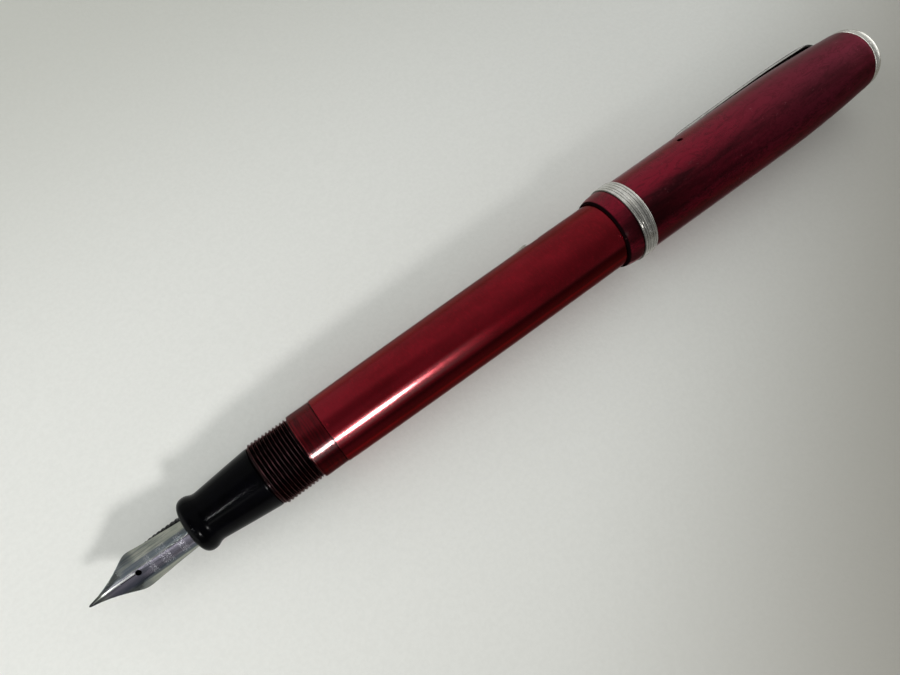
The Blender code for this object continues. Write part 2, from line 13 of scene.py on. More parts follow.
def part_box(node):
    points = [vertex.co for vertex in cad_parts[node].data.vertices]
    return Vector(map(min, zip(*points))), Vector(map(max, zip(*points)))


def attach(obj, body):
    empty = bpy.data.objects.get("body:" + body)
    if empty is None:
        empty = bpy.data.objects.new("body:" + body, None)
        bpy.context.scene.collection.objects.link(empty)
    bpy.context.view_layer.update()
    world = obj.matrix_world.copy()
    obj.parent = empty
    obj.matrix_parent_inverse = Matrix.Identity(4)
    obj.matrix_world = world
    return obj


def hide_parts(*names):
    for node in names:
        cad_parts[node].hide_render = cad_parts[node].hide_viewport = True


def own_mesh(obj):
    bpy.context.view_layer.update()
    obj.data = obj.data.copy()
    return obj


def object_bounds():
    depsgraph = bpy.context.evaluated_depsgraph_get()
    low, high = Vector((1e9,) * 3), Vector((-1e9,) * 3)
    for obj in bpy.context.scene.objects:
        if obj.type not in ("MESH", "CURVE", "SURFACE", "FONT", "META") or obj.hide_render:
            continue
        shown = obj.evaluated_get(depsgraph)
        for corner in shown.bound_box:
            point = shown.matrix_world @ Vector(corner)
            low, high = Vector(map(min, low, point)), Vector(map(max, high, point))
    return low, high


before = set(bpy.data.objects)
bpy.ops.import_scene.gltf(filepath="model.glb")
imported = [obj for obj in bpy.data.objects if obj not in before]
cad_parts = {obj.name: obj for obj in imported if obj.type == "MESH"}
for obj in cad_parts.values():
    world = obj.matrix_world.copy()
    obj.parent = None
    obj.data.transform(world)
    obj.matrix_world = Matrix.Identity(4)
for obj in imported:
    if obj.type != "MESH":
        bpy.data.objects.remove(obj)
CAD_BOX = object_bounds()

MM = 0.001

# Places that tie the millimetre scale to the frame.
PEN_FRONT = 0.7
BAND_LOW, BAND_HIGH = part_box("cap_band")
AXIS_Y = (BAND_LOW.y + BAND_HIGH.y) / 2
AXIS_Z = (BAND_LOW.z + BAND_HIGH.z) / 2
X_AT_ZERO = CAD_BOX[0].x - PEN_FRONT * MM

# Angles around the axis.
NIB_ANGLE = 123.5
LEVER_ANGLE = 8.0
CLIP_ANGLE = -8.0
VENT_ANGLE = 48.0

# Round pieces are spun in this many steps.
ROUND = 192

# Nib and feed.
HOLE_AT = 7.6
HOLE_RADIUS = 0.4
SLIT_HALF_WIDTH = 0.045
NIB_END = 24.0
SECTION_FRONT = 15.3
FEED_RADIUS = 2.06
FIN_START = 8.2
FIN_END = 14.8
FIN_PITCH = 0.66

# Threads and the turned zone behind them.
BARREL_FRONT = 26.7
THREAD_PITCH = 0.56
THREAD_TURNS = 11
THREAD_START = BARREL_FRONT + 0.05
THREAD_END = THREAD_START + THREAD_PITCH * THREAD_TURNS
THREAD_CREST = 4.84
THREAD_ROOT = 4.53
ZONE_START = 33.15
ZONE_END = 36.85

# Lever, slot and recess.
SLOT = (47.6, 76.1)
SLOT_WIDTH = 2.5
LEVER_PIVOT = (51.0, 4.45)
PIN_HOLE_RADIUS = 0.33
RECESS_CENTRE = 76.95
RECESS_RADIUS = 2.6
RECESS_BOTTOM = 5.41 - 0.42
RECESS_WIDTH = 3.6

# Cap.
CAP_MOUTH = 86.96
BAND = (89.78, 92.27)
BAND_LINES = (90.28, 90.72, 91.33, 91.78)
VENT_AT = 105.0
CLIP_FOOT_AT = 138.6
CAP_END = 141.4
CROWN_FRONT = 141.5
PEN_REAR = 143.3

# Camera: its lens and sensor in millimetres, where it stands and which way it faces.
SENSOR_WIDTH = 36.0
LENS = 27.04
CAMERA_AT = 39.088
CAMERA_OFFSET = Vector((0.0, -24.953, 92.44))
CAMERA_FORWARD = Vector((0.19793, 0.2636, -0.94411))
CAMERA_RIGHT = Vector((0.79966, -0.60046, 0.0))


# ---- shape helpers


def outward(angle):
    a = radians(angle)
    return Vector((0.0, cos(a), sin(a)))


def sideways(angle):
    a = radians(angle)
    return Vector((0.0, -sin(a), cos(a)))


def world_point(s, radius=0.0, angle=0.0, side=0.0):
    centre = Vector((X_AT_ZERO + s * MM, AXIS_Y, AXIS_Z))
    return centre + outward(angle) * (radius * MM) + sideways(angle) * (side * MM)


def interpolate(table, at):
    if at <= table[0][0]:
        return table[0][1]
    for (a, u), (b, v) in zip(table, table[1:]):
        if at <= b:
            return u + (v - u) * (at - a) / (b - a)
    return table[-1][1]


def flowing(table, at):
    """Value of a table of (position, value) points, eased so that an outline flows through them."""
    last = len(table) - 1
    if at <= table[0][0]:
        return table[0][1]
    for i in range(last):
        a, u = table[i]
        b, v = table[i + 1]
        if at <= b:
            h = b - a
            k = (at - a) / h
            before = table[max(i - 1, 0)]
            after = table[min(i + 2, last)]
            slope_a = (v - before[1]) / (b - before[0])
            slope_b = (after[1] - u) / (after[0] - a)
            k2, k3 = k * k, k * k * k
            start = (2 * k3 - 3 * k2 + 1) * u + (k3 - 2 * k2 + k) * h * slope_a
            return start + (3 * k2 - 2 * k3) * v + (k3 - k2) * h * slope_b
    return table[-1][1]


def curve_through(points, spacing):
    """Points along a smooth curve through the given ones (a Catmull-Rom curve), about spacing apart."""
    out = [tuple(points[0])]
    last = len(points) - 1
    for i in range(last):
        p0, p1, p2, p3 = (points[min(max(i + k, 0), last)] for k in (-1, 0, 1, 2))
        length = dist(p1, p2)
        steps = max(1, round(length / spacing))
        for j in range(1, steps + 1):
            t = j / steps
            point = []
            for a, b, c, d in zip(p0, p1, p2, p3):
                point.append(
                    0.5 * (2 * b + (c - a) * t + (2 * a - 5 * b + 4 * c - d) * t * t
                           + (3 * b - a - 3 * c + d) * t ** 3)
                )
            out.append(tuple(point))
    return out


def add_piece(name, verts, faces, sharp=35.0):
    mesh = bpy.data.meshes.new(name)
    mesh.from_pydata(verts, [], faces)
    bm = bmesh.new()
    bm.from_mesh(mesh)
    bmesh.ops.remove_doubles(bm, verts=bm.verts, dist=1e-8)
    bmesh.ops.recalc_face_normals(bm, faces=bm.faces)
    bm.to_mesh(mesh)
    bm.free()
    mesh.shade_smooth()
    mesh.set_sharp_from_angle(angle=radians(sharp))
    obj = bpy.data.objects.new(name, mesh)
    bpy.context.scene.collection.objects.link(obj)
    return obj


def turned(name, profile, closed=True, radius_at=None, segments=ROUND, sharp=35.0):
    """Spins (position, radius) points about the pen's axis.

    A closed profile is a wall around the axis; an open one starts and ends on it.
    radius_at(s, r, angle) may change the radius around the turn, for threads, grooves and dents.
    """
    verts = []
    rings = []
    for s, r in profile:
        if r <= 0:
            rings.append([len(verts)])
            verts.append(world_point(s))
            continue
        ring = []
        for i in range(segments):
            angle = 360.0 * i / segments
            radius = radius_at(s, r, angle) if radius_at else r
            ring.append(len(verts))
            verts.append(world_point(s, radius, angle))
        rings.append(ring)
    pairs = list(zip(rings, rings[1:]))
    if closed:
        pairs.append((rings[-1], rings[0]))
    faces = []
    for low, high in pairs:
        for i in range(segments):
            j = (i + 1) % segments
            if len(low) == 1:
                faces.append((low[0], high[i], high[j]))
            elif len(high) == 1:
                faces.append((low[i], low[j], high[0]))
            else:
                faces.append((low[i], low[j], high[j], high[i]))
    return add_piece(name, verts, faces, sharp)


def lofted(name, rings, sharp=35.0):
    """Skins closed rings of equal length and caps the two ends."""
    count = len(rings[0])
    verts = [p for ring in rings for p in ring]
    faces = []
    for k in range(len(rings) - 1):
        for i in range(count):
            j = (i + 1) % count
            faces.append((k * count + i, k * count + j, (k + 1) * count + j, (k + 1) * count + i))
    faces.append(tuple(range(count)))
    faces.append(tuple(reversed(range((len(rings) - 1) * count, len(rings) * count))))
    return add_piece(name, verts, faces, sharp)


def prism(outline, angle, width):
    """Solid with a side outline of (position, radius) points, centred across that angle."""
    rings = []
    for side in (-width / 2, width / 2):
        rings.append([world_point(s, r, angle, side) for s, r in outline])
    return lofted("cutter", rings)


def ellipse(x, y, half_x, half_y, steps):
    """Points around an ellipse about (x, y)."""
    turns = [2 * pi * i / steps for i in range(steps)]
    return [(x + half_x * cos(a), y + half_y * sin(a)) for a in turns]


def rounded_box(s0, s1, width, corner, steps=6):
    """Outline of a slot seen from above: (position, side) points with round corners."""
    points = []
    corners = ((s1 - corner, width / 2 - corner, 0), (s0 + corner, width / 2 - corner, 90),
               (s0 + corner, corner - width / 2, 180), (s1 - corner, corner - width / 2, 270))
    for cs, cw, first in corners:
        for i in range(steps + 1):
            a = radians(first + 90 * i / steps)
            points.append((cs + corner * cos(a), cw + corner * sin(a)))
    return points


def slot_cutter(outline, angle, low, high):
    """Column through a wall between two radii, with an outline of (position, side) points."""
    rings = [[world_point(s, r, angle, w) for s, w in outline] for r in (low, high)]
    return lofted("cutter", rings)


def cut(obj, *tools):
    """Takes the tools away from the piece and keeps the result as its mesh."""
    for tool in tools:
        mod = obj.modifiers.new("cut", "BOOLEAN")
        mod.operation = "DIFFERENCE"
        mod.solver = "EXACT"
        mod.object = tool
    depsgraph = bpy.context.evaluated_depsgraph_get()
    mesh = bpy.data.meshes.new_from_object(obj.evaluated_get(depsgraph))
    obj.modifiers.clear()
    obj.data = mesh
    mesh.shade_smooth()
    mesh.set_sharp_from_angle(angle=radians(28))
    for tool in tools:
        bpy.data.objects.remove(tool, do_unlink=True)


def smoothstep(low, high, value):
    t = min(1.0, max(0.0, (value - low) / (high - low)))
    return t * t * (3 - 2 * t)


# ---- nib, feed and section

NIB_RIDGE = [
    (0.7, 1.99), (2.5, 1.99), (4.8, 2.00), (6.5, 2.06), (7.6, 2.15), (9.0, 2.26), (11.0, 2.4),
    (13.0, 2.49), (15.0, 2.54), (24.0, 2.55)
]
NIB_EDGE = [
    (0.7, 1.96), (1.2, 1.96), (2.0, 1.94), (3.0, 1.9), (4.0, 1.86), (5.0, 1.82), (6.0, 1.72),
    (6.6, 1.56), (7.0, 1.37), (7.4, 1.23), (8.0, 1.2), (9.0, 1.25), (10.0, 1.3), (12.0, 1.28),
    (14.0, 1.34), (15.0, 1.36), (24.0, 1.36)
]
NIB_HALF = [
    (0.7, 0.07), (0.85, 0.14), (1.2, 0.2), (2.0, 0.38), (3.0, 0.7), (4.0, 1.09), (5.0, 1.56),
    (6.0, 2.11), (6.6, 2.47), (7.0, 2.67), (7.4, 2.76), (7.8, 2.77), (8.4, 2.71), (9.0, 2.64),
    (10.0, 2.55), (11.0, 2.46), (12.0, 2.38), (13.0, 2.3), (14.0, 2.23), (15.0, 2.16), (24.0, 2.14)
]
NIB_SHEET = [(0.7, 0.2), (0.9, 0.3), (1.8, 0.3), (3.0, 0.29), (24.0, 0.27)]


def nib_arc(s):
    """Radius of the nib's cross-section and the height of that arc's centre above the axis."""
    ridge = flowing(NIB_RIDGE, s)
    drop = max(0.02, ridge - interpolate(NIB_EDGE, s))
    half = interpolate(NIB_HALF, s)
    curve = (half * half + drop * drop) / (2 * drop)
    return curve, ridge - curve


def slit_half_width(s):
    reach = HOLE_RADIUS ** 2 - (s - HOLE_AT) ** 2
    slit = 0.01 + (SLIT_HALF_WIDTH - 0.01) * smoothstep(4.4, 5.2, s) if s < HOLE_AT else 0.0
    return max(sqrt(reach), slit) if reach > 0 else slit


def nib_stations():
    front = [PEN_FRONT, 0.76, 0.85, 0.95]
    while front[-1] < HOLE_AT - HOLE_RADIUS - 0.12:
        front.append(front[-1] + 0.1)
    steps = 24
    hole = [HOLE_AT - HOLE_RADIUS * cos(pi * k / steps) for k in range(steps + 1)]
    rear = [hole[-1] + 0.12 * k for k in range(1, 70)]
    return front + hole + rear + [18.0, 21.0, NIB_END]


def build_nib():
    """Curved sheet with rounded edges, an open slit and a round breather hole."""
    columns = 22
    rounding = 4
    verts = []
    rows = []
    for s in nib_stations():
        curve, centre = nib_arc(s)
        sheet = interpolate(NIB_SHEET, s)
        half = interpolate(NIB_HALF, s)
        edge = asin(min(0.999, half / curve))
        opening = min(slit_half_width(s), half * 0.35)
        first = asin(opening / curve)
        row = {}
        for side in (-1, 1):
            if opening == 0.0 and side == 1:
                shared = row[-1][0]
            loop = []
            for j in range(columns + 1):
                if j == 0 and opening == 0.0 and side == 1:
                    loop.append(shared)
                    continue
                angle = first + (edge - first) * j / columns
                pair = []
                for drop in (0.0, sheet):
                    depth = curve - drop
                    pair.append(len(verts))
                    verts.append(world_point(s, centre + depth * cos(angle), NIB_ANGLE,
                                             side * depth * sin(angle)))
                loop.append(pair)
            lip = []
            for k in range(1, rounding):
                a = pi * k / rounding
                bulge = 0.5 * sheet * sin(a)
                drop = 0.5 * sheet * (1 - cos(a))
                depth = curve - drop
                across = depth * sin(edge) + bulge * cos(edge) * 0.6
                height = centre + depth * cos(edge) - bulge * sin(edge) * 0.6
                lip.append(len(verts))
                verts.append(world_point(s, height, NIB_ANGLE, side * across))
            row[side] = loop
            row[(side, "lip")] = lip
        rows.append((row, opening))
    faces = []
    for (low, gap_low), (high, gap_high) in zip(rows, rows[1:]):
        for side in (-1, 1):
            for j in range(columns):
                a, b, c, d = low[side][j], low[side][j + 1], high[side][j + 1], high[side][j]
                faces.append((a[0], b[0], c[0], d[0]))
                faces.append((d[1], c[1], b[1], a[1]))
            low_edge = [low[side][columns][0]] + low[(side, "lip")] + [low[side][columns][1]]
            high_edge = [high[side][columns][0]] + high[(side, "lip")] + [high[side][columns][1]]
            for k in range(len(low_edge) - 1):
                faces.append((low_edge[k], low_edge[k + 1], high_edge[k + 1], high_edge[k]))
            if gap_low > 0 or gap_high > 0:
                a, d = low[side][0], high[side][0]
                faces.append((d[0], d[1], a[1], a[0]))
    for row, _ in (rows[0], rows[-1]):
        for side in (-1, 1):
            outline = [pair[0] for pair in row[side]] + row[(side, "lip")]
            faces.append(tuple(outline + [pair[1] for pair in reversed(row[side])]))
    return add_piece("nib_blade", verts, faces, sharp=40)


def build_tipping():
    """Hard pellet under the nib's point, ground to a smooth foot."""
    rings = []
    for k in range(15):
        t = k / 14
        s = 0.74 + 1.25 * t
        swell = sin(pi * min(1.0, 0.06 + 0.94 * t)) ** 0.55
        swell = swell if t < 0.4 else swell * (1.15 - 0.37 * t)
        half = 0.2 * swell + 0.01
        depth = 0.23 * swell + 0.01
        centre = interpolate(NIB_RIDGE, s) - 0.22
        outline = ellipse(0.0, centre, half, depth, 20)
        rings.append([world_point(s, height, NIB_ANGLE, side) for side, height in outline])
    return lofted("nib_tipping", rings, sharp=60)


FEED_BODY = [
    (4.9, 0.3), (5.3, 0.5), (5.8, 0.72), (6.5, 1.00), (7.6, 1.45), (9.0, 1.86), (10.5, 2.02),
    (12.0, FEED_RADIUS), (SECTION_FRONT + 9, FEED_RADIUS)
]


def feed_stations():
    rows = [4.9 + 0.11 * k for k in range(30)]
    count = int(round((FIN_END - FIN_START) / FIN_PITCH))
    for i in range(count):
        base = FIN_START + FIN_PITCH * i
        rows += [base + d for d in (0.0, 0.03, 0.06, 0.15, 0.24, 0.28, 0.31, 0.45)]
    return rows + [14.9, 15.0, 16.0, 20.0, 24.0]


def feed_fin(s):
    """1 on the crest of a fin, 0 between fins."""
    phase = (s - FIN_START) % FIN_PITCH
    if s < FIN_START or s > FIN_END:
        return 1.0
    return smoothstep(0.0, 0.06, phase) * (1 - smoothstep(0.25, 0.31, phase))


def build_feed():
    """Black feed under the nib: a beak, an ink channel on top and thin fins around the rest."""
    rings = []
    corners = 72
    for s in feed_stations():
        body = flowing(FEED_BODY, s)
        under_nib = flowing(NIB_RIDGE, s) - interpolate(NIB_SHEET, s) - 0.06
        centre = max(0.0, under_nib - body) if s < 10.5 else 0.0
        fin = feed_fin(s)
        ring = []
        for i in range(corners):
            degrees = 360.0 * i / corners
            from_top = min(degrees, 360.0 - degrees)
            below = smoothstep(66, 72, from_top)
            radius = body + below * (0.16 - 0.07 * (1 - fin)) * smoothstep(7.9, 8.6, s)
            if from_top < 8:
                radius -= min(0.5, 0.35 * body)
            a = radians(degrees)
            ring.append(world_point(s, centre + radius * cos(a), NIB_ANGLE, radius * sin(a)))
        rings.append(ring)
    return lofted("feed_body", rings)


def build_section():
    """Grip section: rolled lip, neck, long flare, shoulder and the hidden tenon."""
    bore = 2.65
    lip = curve_through([
        (15.62, bore), (15.4, 2.74), (15.31, 2.92), (SECTION_FRONT, 3.12), (15.36, 3.48), (15.58, 3.8),
        (15.92, 3.99), (16.35, 4.05), (16.8, 3.99), (17.15, 3.84), (17.5, 3.7), (17.9, 3.645),
        (18.4, 3.68), (20.8, 3.95), (23.4, 4.24), (25.9, 4.5), (26.35, 4.535)
    ], 0.07)
    shoulder = [(26.5, 4.52), (26.58, 4.46), (26.6, 4.38), (26.6, 3.93)]
    tenon = [
        (33.9, 3.93), (34.2, 3.63), (34.2, 2.45), (40.3, 2.45), (40.5, 2.25), (40.5, 1.5), (33.2, 1.5),
        (33.2, bore)
    ]
    return turned("grip_section_shell", lip + shoulder + tenon, sharp=30)


# ---- barrel and filling lever


def thread_radius(s, r, angle):
    """Helical thread with slightly rounded crests that fades out at both ends."""
    start, end = THREAD_START, THREAD_END
    if not start <= s <= end or r > 4.9:
        return r
    phase = ((s - start) / THREAD_PITCH - angle / 360.0) % 1.0
    height = 1 - abs(2 * phase - 1)
    height = smoothstep(0.05, 0.95, height) * 0.45 + height * 0.55
    fade = smoothstep(start, start + 0.35, s) * (1 - smoothstep(end - 0.12, end, s))
    return THREAD_ROOT + (THREAD_CREST - THREAD_ROOT) * height * fade


def build_barrel():
    """Barrel with its thread, the turned-down zone, the lever's slot and the thumbnail recess."""
    rows = THREAD_TURNS * 14
    reach = THREAD_PITCH * THREAD_TURNS
    thread = [(THREAD_START + reach * k / rows, THREAD_ROOT) for k in range(rows + 1)]
    zone = [
        (ZONE_START - 0.14, THREAD_ROOT), (ZONE_START - 0.02, THREAD_ROOT), (ZONE_START + 0.02, 4.88),
        (ZONE_START + 0.1, 4.95)
    ]
    zone += [(ZONE_START + 0.3 + 0.5 * k, 4.95) for k in range(7)]
    zone += [
        (ZONE_END - 0.14, 4.95), (ZONE_END - 0.09, 4.9), (ZONE_END - 0.04, 4.9), (ZONE_END, 4.99),
        (ZONE_END + 0.05, 5.04)
    ]
    body = curve_through([
        (ZONE_END + 0.05, 5.04), (41.0, 5.12), (46.0, 5.2), (58.0, 5.33), (70.0, 5.4), (80.0, 5.42),
        (87.4, 5.42)
    ], 0.8)[1:]
    tail = curve_through([
        (87.4, 5.42), (88.3, 5.28), (89.5, 4.92), (90.7, 4.61), (97.0, 4.48), (103.0, 4.22),
        (105.6, 3.92), (106.8, 3.4), (107.3, 2.7), (107.3, 0.6)
    ], 0.5)[1:]
    hollow = [(104.5, 0.0), (104.5, 2.9), (103.9, 3.5), (92.0, 3.5), (89.2, 4.0), (BARREL_FRONT, 4.0)]
    mouth = [(BARREL_FRONT, THREAD_ROOT - 0.06)]
    profile = hollow + mouth + thread + zone + body + tail + [(107.3, 0.0)]
    barrel = turned("barrel_shell", profile, closed=False, radius_at=thread_radius, sharp=30)
    slot = slot_cutter(rounded_box(*SLOT, SLOT_WIDTH, 0.5), LEVER_ANGLE, 2.6, 7.0)
    scoop = ellipse(RECESS_CENTRE, RECESS_BOTTOM + RECESS_RADIUS, RECESS_RADIUS, RECESS_RADIUS, 48)
    hole = ellipse(*LEVER_PIVOT, PIN_HOLE_RADIUS, PIN_HOLE_RADIUS, 24)
    cut(barrel, slot, prism(scoop, LEVER_ANGLE, RECESS_WIDTH), prism(hole, LEVER_ANGLE, 4.0))
    return barrel


LEVER_TOP = [
    (48.62, 4.88), (49.6, 5.02), (52.0, 5.15), (58.0, 5.22), (66.0, 5.3), (72.4, 5.34), (73.9, 5.46),
    (75.0, 5.6)
]
LEVER_TIP = [
    (75.0, 5.6), (75.45, 5.64), (75.72, 5.63), (75.86, 5.55), (75.86, 5.43), (75.68, 5.28),
    (75.4, 4.98), (74.8, 4.5)
]


def build_lever():
    """Flat filling lever with softened edges, a heel behind its pivot and a turned-up tab."""
    outline = curve_through(LEVER_TOP, 1.0) + curve_through(LEVER_TIP, 0.12)[1:]
    outline += [
        (68.0, 4.46), (60.0, 4.42), (52.8, 4.38), (51.8, 4.02), (50.2, 4.02), (48.6, 4.04),
        (48.42, 4.18), (48.4, 4.6)
    ]
    width = 2.2
    soft = 0.13
    rings = []
    near, far = 0.5 * soft / width, 2 * soft / width
    for side, inset in ((-1, soft), (-1 + near, 0.35 * soft), (-1 + far, 0.0),
                        (1 - far, 0.0), (1 - near, 0.35 * soft), (1, soft)):
        ring = []
        for i, (s, r) in enumerate(outline):
            before = outline[i - 1]
            after = outline[(i + 1) % len(outline)]
            ds, dr = after[0] - before[0], after[1] - before[1]
            size = hypot(ds, dr) or 1.0
            ring.append(world_point(s - inset * dr / size, r - inset * ds / size, LEVER_ANGLE,
                                    side * width / 2))
        rings.append(ring)
    return lofted("filling_lever", rings, sharp=50)


def build_pin():
    rings = []
    ends = ((1.84, 0.3), (1.9, 0.28), (1.95, 0.22))
    for side, radius in [(-side, radius) for side, radius in reversed(ends)] + [*ends]:
        outline = ellipse(*LEVER_PIVOT, radius, radius, 32)
        rings.append([world_point(s, r, LEVER_ANGLE, side) for s, r in outline])
    return lofted("lever_hinge_pin", rings)


def strip_ring(s, r, direction, width, gauge, angle, dome):
    """Cross-section of a bent strip: flat sides with small round corners, and a domed outer face."""
    norm_s, norm_r = direction[1], -direction[0]
    half = width / 2
    corner = min(0.16 * gauge, half * 0.3)
    ring = []
    for i in range(9):
        ring.append(((half - corner) * (i / 4 - 1), -0.5 * gauge))
    shoulder = 0.5 * gauge - dome * gauge
    for first, lift in ((-90, corner - 0.5 * gauge), (0, shoulder - corner)):
        for i in range(1, 4):
            a = radians(first + 30 * i)
            ring.append((half - corner + corner * cos(a), lift + corner * sin(a)))
    for i in range(1, 12):
        side = (half - corner) * (1 - i / 6)
        ring.append((side, shoulder + dome * gauge * (1 - (side / (half - corner)) ** 2)))
    for first, lift in ((90, shoulder - corner), (180, corner - 0.5 * gauge)):
        for i in range(3):
            a = radians(first + 30 * i)
            ring.append((corner - half + corner * cos(a), lift + corner * sin(a)))
    return [world_point(s + norm_s * lift, r + norm_r * lift, angle, side) for side, lift in ring]


def strip(name, path, angle, dome):
    """Bent strip through path points (position, radius, width, gauge)."""
    rings = []
    for i, (s, r, width, gauge) in enumerate(path):
        before = path[max(i - 1, 0)]
        after = path[min(i + 1, len(path) - 1)]
        ds, dr = after[0] - before[0], after[1] - before[1]
        size = hypot(ds, dr)
        rings.append(strip_ring(s, r, (ds / size, dr / size), width, gauge, angle, dome))
    return lofted(name, rings, sharp=42)


def build_pressure_bar():
    """Flat spring bar over the sac, bent back under itself at the rear."""
    r = 3.445
    gauge = 0.35
    path = [(42.0, r, 1.5, gauge), (42.2, r, 1.95, gauge), (42.5, r, 2.3, gauge), (42.9, r, 2.6, gauge)]
    path += [(42.9 + 44.6 * k / 30, r, 2.6, gauge) for k in range(1, 31)]
    bend = 0.85
    for i in range(1, 17):
        a = pi * i / 16
        path.append((87.5 + bend * sin(a), r - bend * (1 - cos(a)), 2.6, gauge))
    path += [(86.2, r - 2 * bend - 0.03, 2.6, gauge), (83.6, r - 2 * bend - 0.1, 2.6, gauge)]
    return strip("bar_spring", path, LEVER_ANGLE, 0.0)


def build_sac():
    """Soft latex sac, slightly uneven, closed at the rear."""
    radius, wall, rear = 3.0, 0.5, 82.5 - 3.0
    outer = [(36.0 + (rear - 36.0) * k / 70, radius) for k in range(71)]
    inner = [(36.0 + (rear - 36.0) * k / 12, radius - wall) for k in range(13)]
    for i in range(1, 13):
        a = pi / 2 * i / 12
        outer.append((rear + radius * sin(a), radius * cos(a) if i < 12 else 0.0))
        inner.append((rear + (radius - wall) * sin(a), (radius - wall) * cos(a) if i < 12 else 0.0))

    def uneven(s, r, angle):
        if r < radius * 0.99:
            return r
        a = radians(angle)
        return r - 0.03 - 0.03 * sin(s * 0.9 + cos(a)) * sin(2 * a + s * 0.35)

    profile = inner[::-1] + outer
    return turned("soft_sac", profile, closed=False, radius_at=uneven, segments=96)


# ---- cap


def build_cap():
    """Cap shell with its mouth, the band's seat, the thread inside, the clip's slot and the vent."""
    lip = curve_through([
        (87.02, 5.5), (CAP_MOUTH, 5.56), (CAP_MOUTH, 5.62), (87.15, 5.76), (87.8, 5.94), (88.6, 6.06),
        (89.4, 6.11)
    ], 0.12)
    seat = [
        (BAND[0] - 0.12, 6.12), (BAND[0] - 0.06, 6.08), (BAND[0] - 0.06, 5.92), (BAND[1] + 0.06, 5.92),
        (BAND[1] + 0.06, 6.03)
    ]
    body = curve_through([
        (BAND[1] + 0.12, 6.08), (96.0, 6.1), (107.0, 6.16), (116.0, 6.21), (123.0, 6.22), (126.5, 6.17),
        (129.4, 6.06), (133.3, 5.87), (136.3, 5.68), (138.6, 5.49), (140.8, 5.33),
        (CAP_END - 0.08, 5.26)
    ], 0.7)
    end = [(CAP_END, 5.18), (CAP_END, 4.2), (137.1, 4.2), (137.1, 5.0)]
    turns = []
    for i in range(8 * 8 + 1):
        phase = i / 8 % 1.0
        turns.append((95.68 - THREAD_PITCH * i / 8, 4.98 - 0.28 * (1 - abs(2 * phase - 1))))
    mouth = [(90.5, 5.48), (87.1, 5.48)]
    cap = turned("cap_body", lip + seat + body + end + turns + mouth, sharp=30)
    slot = slot_cutter(rounded_box(137.55, 139.15, 3.9, 0.3), CLIP_ANGLE, 3.4, 7.0)
    vent = slot_cutter(ellipse(VENT_AT, 0.0, 0.47, 0.46, 32), VENT_ANGLE, 4.0, 7.0)
    cut(cap, slot, vent)
    return cap


def build_band():
    """Cap band with a rounded edge on each side and four turned lines, worn away in places."""
    front, rear = BAND

    def worn(s, r, angle):
        for centre in BAND_LINES:
            near = 1 - smoothstep(0.02, 0.08, abs(s - centre))
            wear = 0.55 + 0.45 * sin(radians(angle * 2 + centre * 300))
            r -= 0.075 * near * wear
        return r

    edge = ((0.0, 5.97), (0.0, 6.17), (0.04, 6.25), (0.12, 6.32), (0.26, 6.35))
    outer = [(front + inset, r) for inset, r in edge]
    outer += [(front + 0.3 + 0.03 * k, 6.35) for k in range(64)]
    outer += [(rear - inset, r) for inset, r in reversed(edge)]
    return turned("cap_ring", outer, radius_at=worn, sharp=30)


def build_liner():
    outer = [
        (108.1, 3.86), (108.1, 4.68), (108.16, 4.84), (108.3, 4.93), (122.0, 4.93), (136.8, 4.93),
        (136.8, 3.6), (128.0, 3.6), (128.0, 0.0)
    ]
    hollow = [(126.0, 0.0), (126.0, 3.2), (125.85, 3.55), (125.5, 3.7), (108.25, 3.7)]
    return turned("liner_cup", hollow + outer, closed=False, segments=96)


CLIP_LINE = [
    (136.0, 6.38, 3.4), (134.4, 6.46, 3.4), (131.6, 6.55, 3.35), (127.7, 6.6, 3.25),
    (123.9, 6.585, 3.1), (120.2, 6.56, 2.95), (113.0, 6.485, 2.55), (109.9, 6.45, 2.35),
    (109.3, 6.45, 2.25), (108.9, 6.45, 2.0)
]
CLIP_LIFT = 0.06


def build_clip():
    """Spring clip: a foot through the slot, a round shoulder and a slim tongue along the cap."""
    gauge = 0.62
    path = [(CLIP_FOOT_AT, 3.0 + 0.25 * k, 3.4, gauge) for k in range(6)]
    for i in range(11):
        a = pi / 2 * i / 12
        path.append((CLIP_FOOT_AT - 2.0 * (1 - cos(a)), 5.15 + 1.19 * sin(a), 3.4, gauge))
    path += [(s, r + CLIP_LIFT, w, gauge) for s, r, w in curve_through(CLIP_LINE, 0.6)]
    path += [
        (108.7, 6.51, 1.75, 0.6), (108.58, 6.51, 1.45, 0.57), (108.5, 6.51, 1.1, 0.52),
        (108.46, 6.51, 0.7, 0.44)
    ]
    return strip("spring_clip", path, CLIP_ANGLE, 0.22)


def build_plug():
    outer = [(139.2, 1.3), (139.2, 3.88), (139.27, 4.05), (139.45, 4.13), (141.3, 4.13), (141.3, 1.3)]
    return turned("plug_disc", outer, segments=96)


def build_crown():
    """Plated crown: a stud, a shallow seam and a softly rounded rim with one small nick."""

    def nick(s, r, angle):
        near = 1 - smoothstep(0.0, 5.0, abs(angle - 49.0))
        return r - 0.16 * near * smoothstep(141.6, 142.3, s) * (1 if r > 4.2 else 0)

    rim = curve_through([
        (CROWN_FRONT, 5.04), (CROWN_FRONT + 0.06, 5.18), (CROWN_FRONT + 0.2, 5.24), (142.2, 5.24),
        (142.7, 5.12), (143.05, 4.85), (143.25, 4.46), (PEN_REAR, 4.05)
    ], 0.08)
    face = [(PEN_REAR, 4.05 * k / 10) for k in range(9, -1, -1)]
    stud = [(139.6, 0.0), (139.6, 1.02), (139.8, 1.22), (CROWN_FRONT, 1.22)]
    return turned("crown_button", stud + rim + face, closed=False, radius_at=nick, sharp=32)


# ---- materials


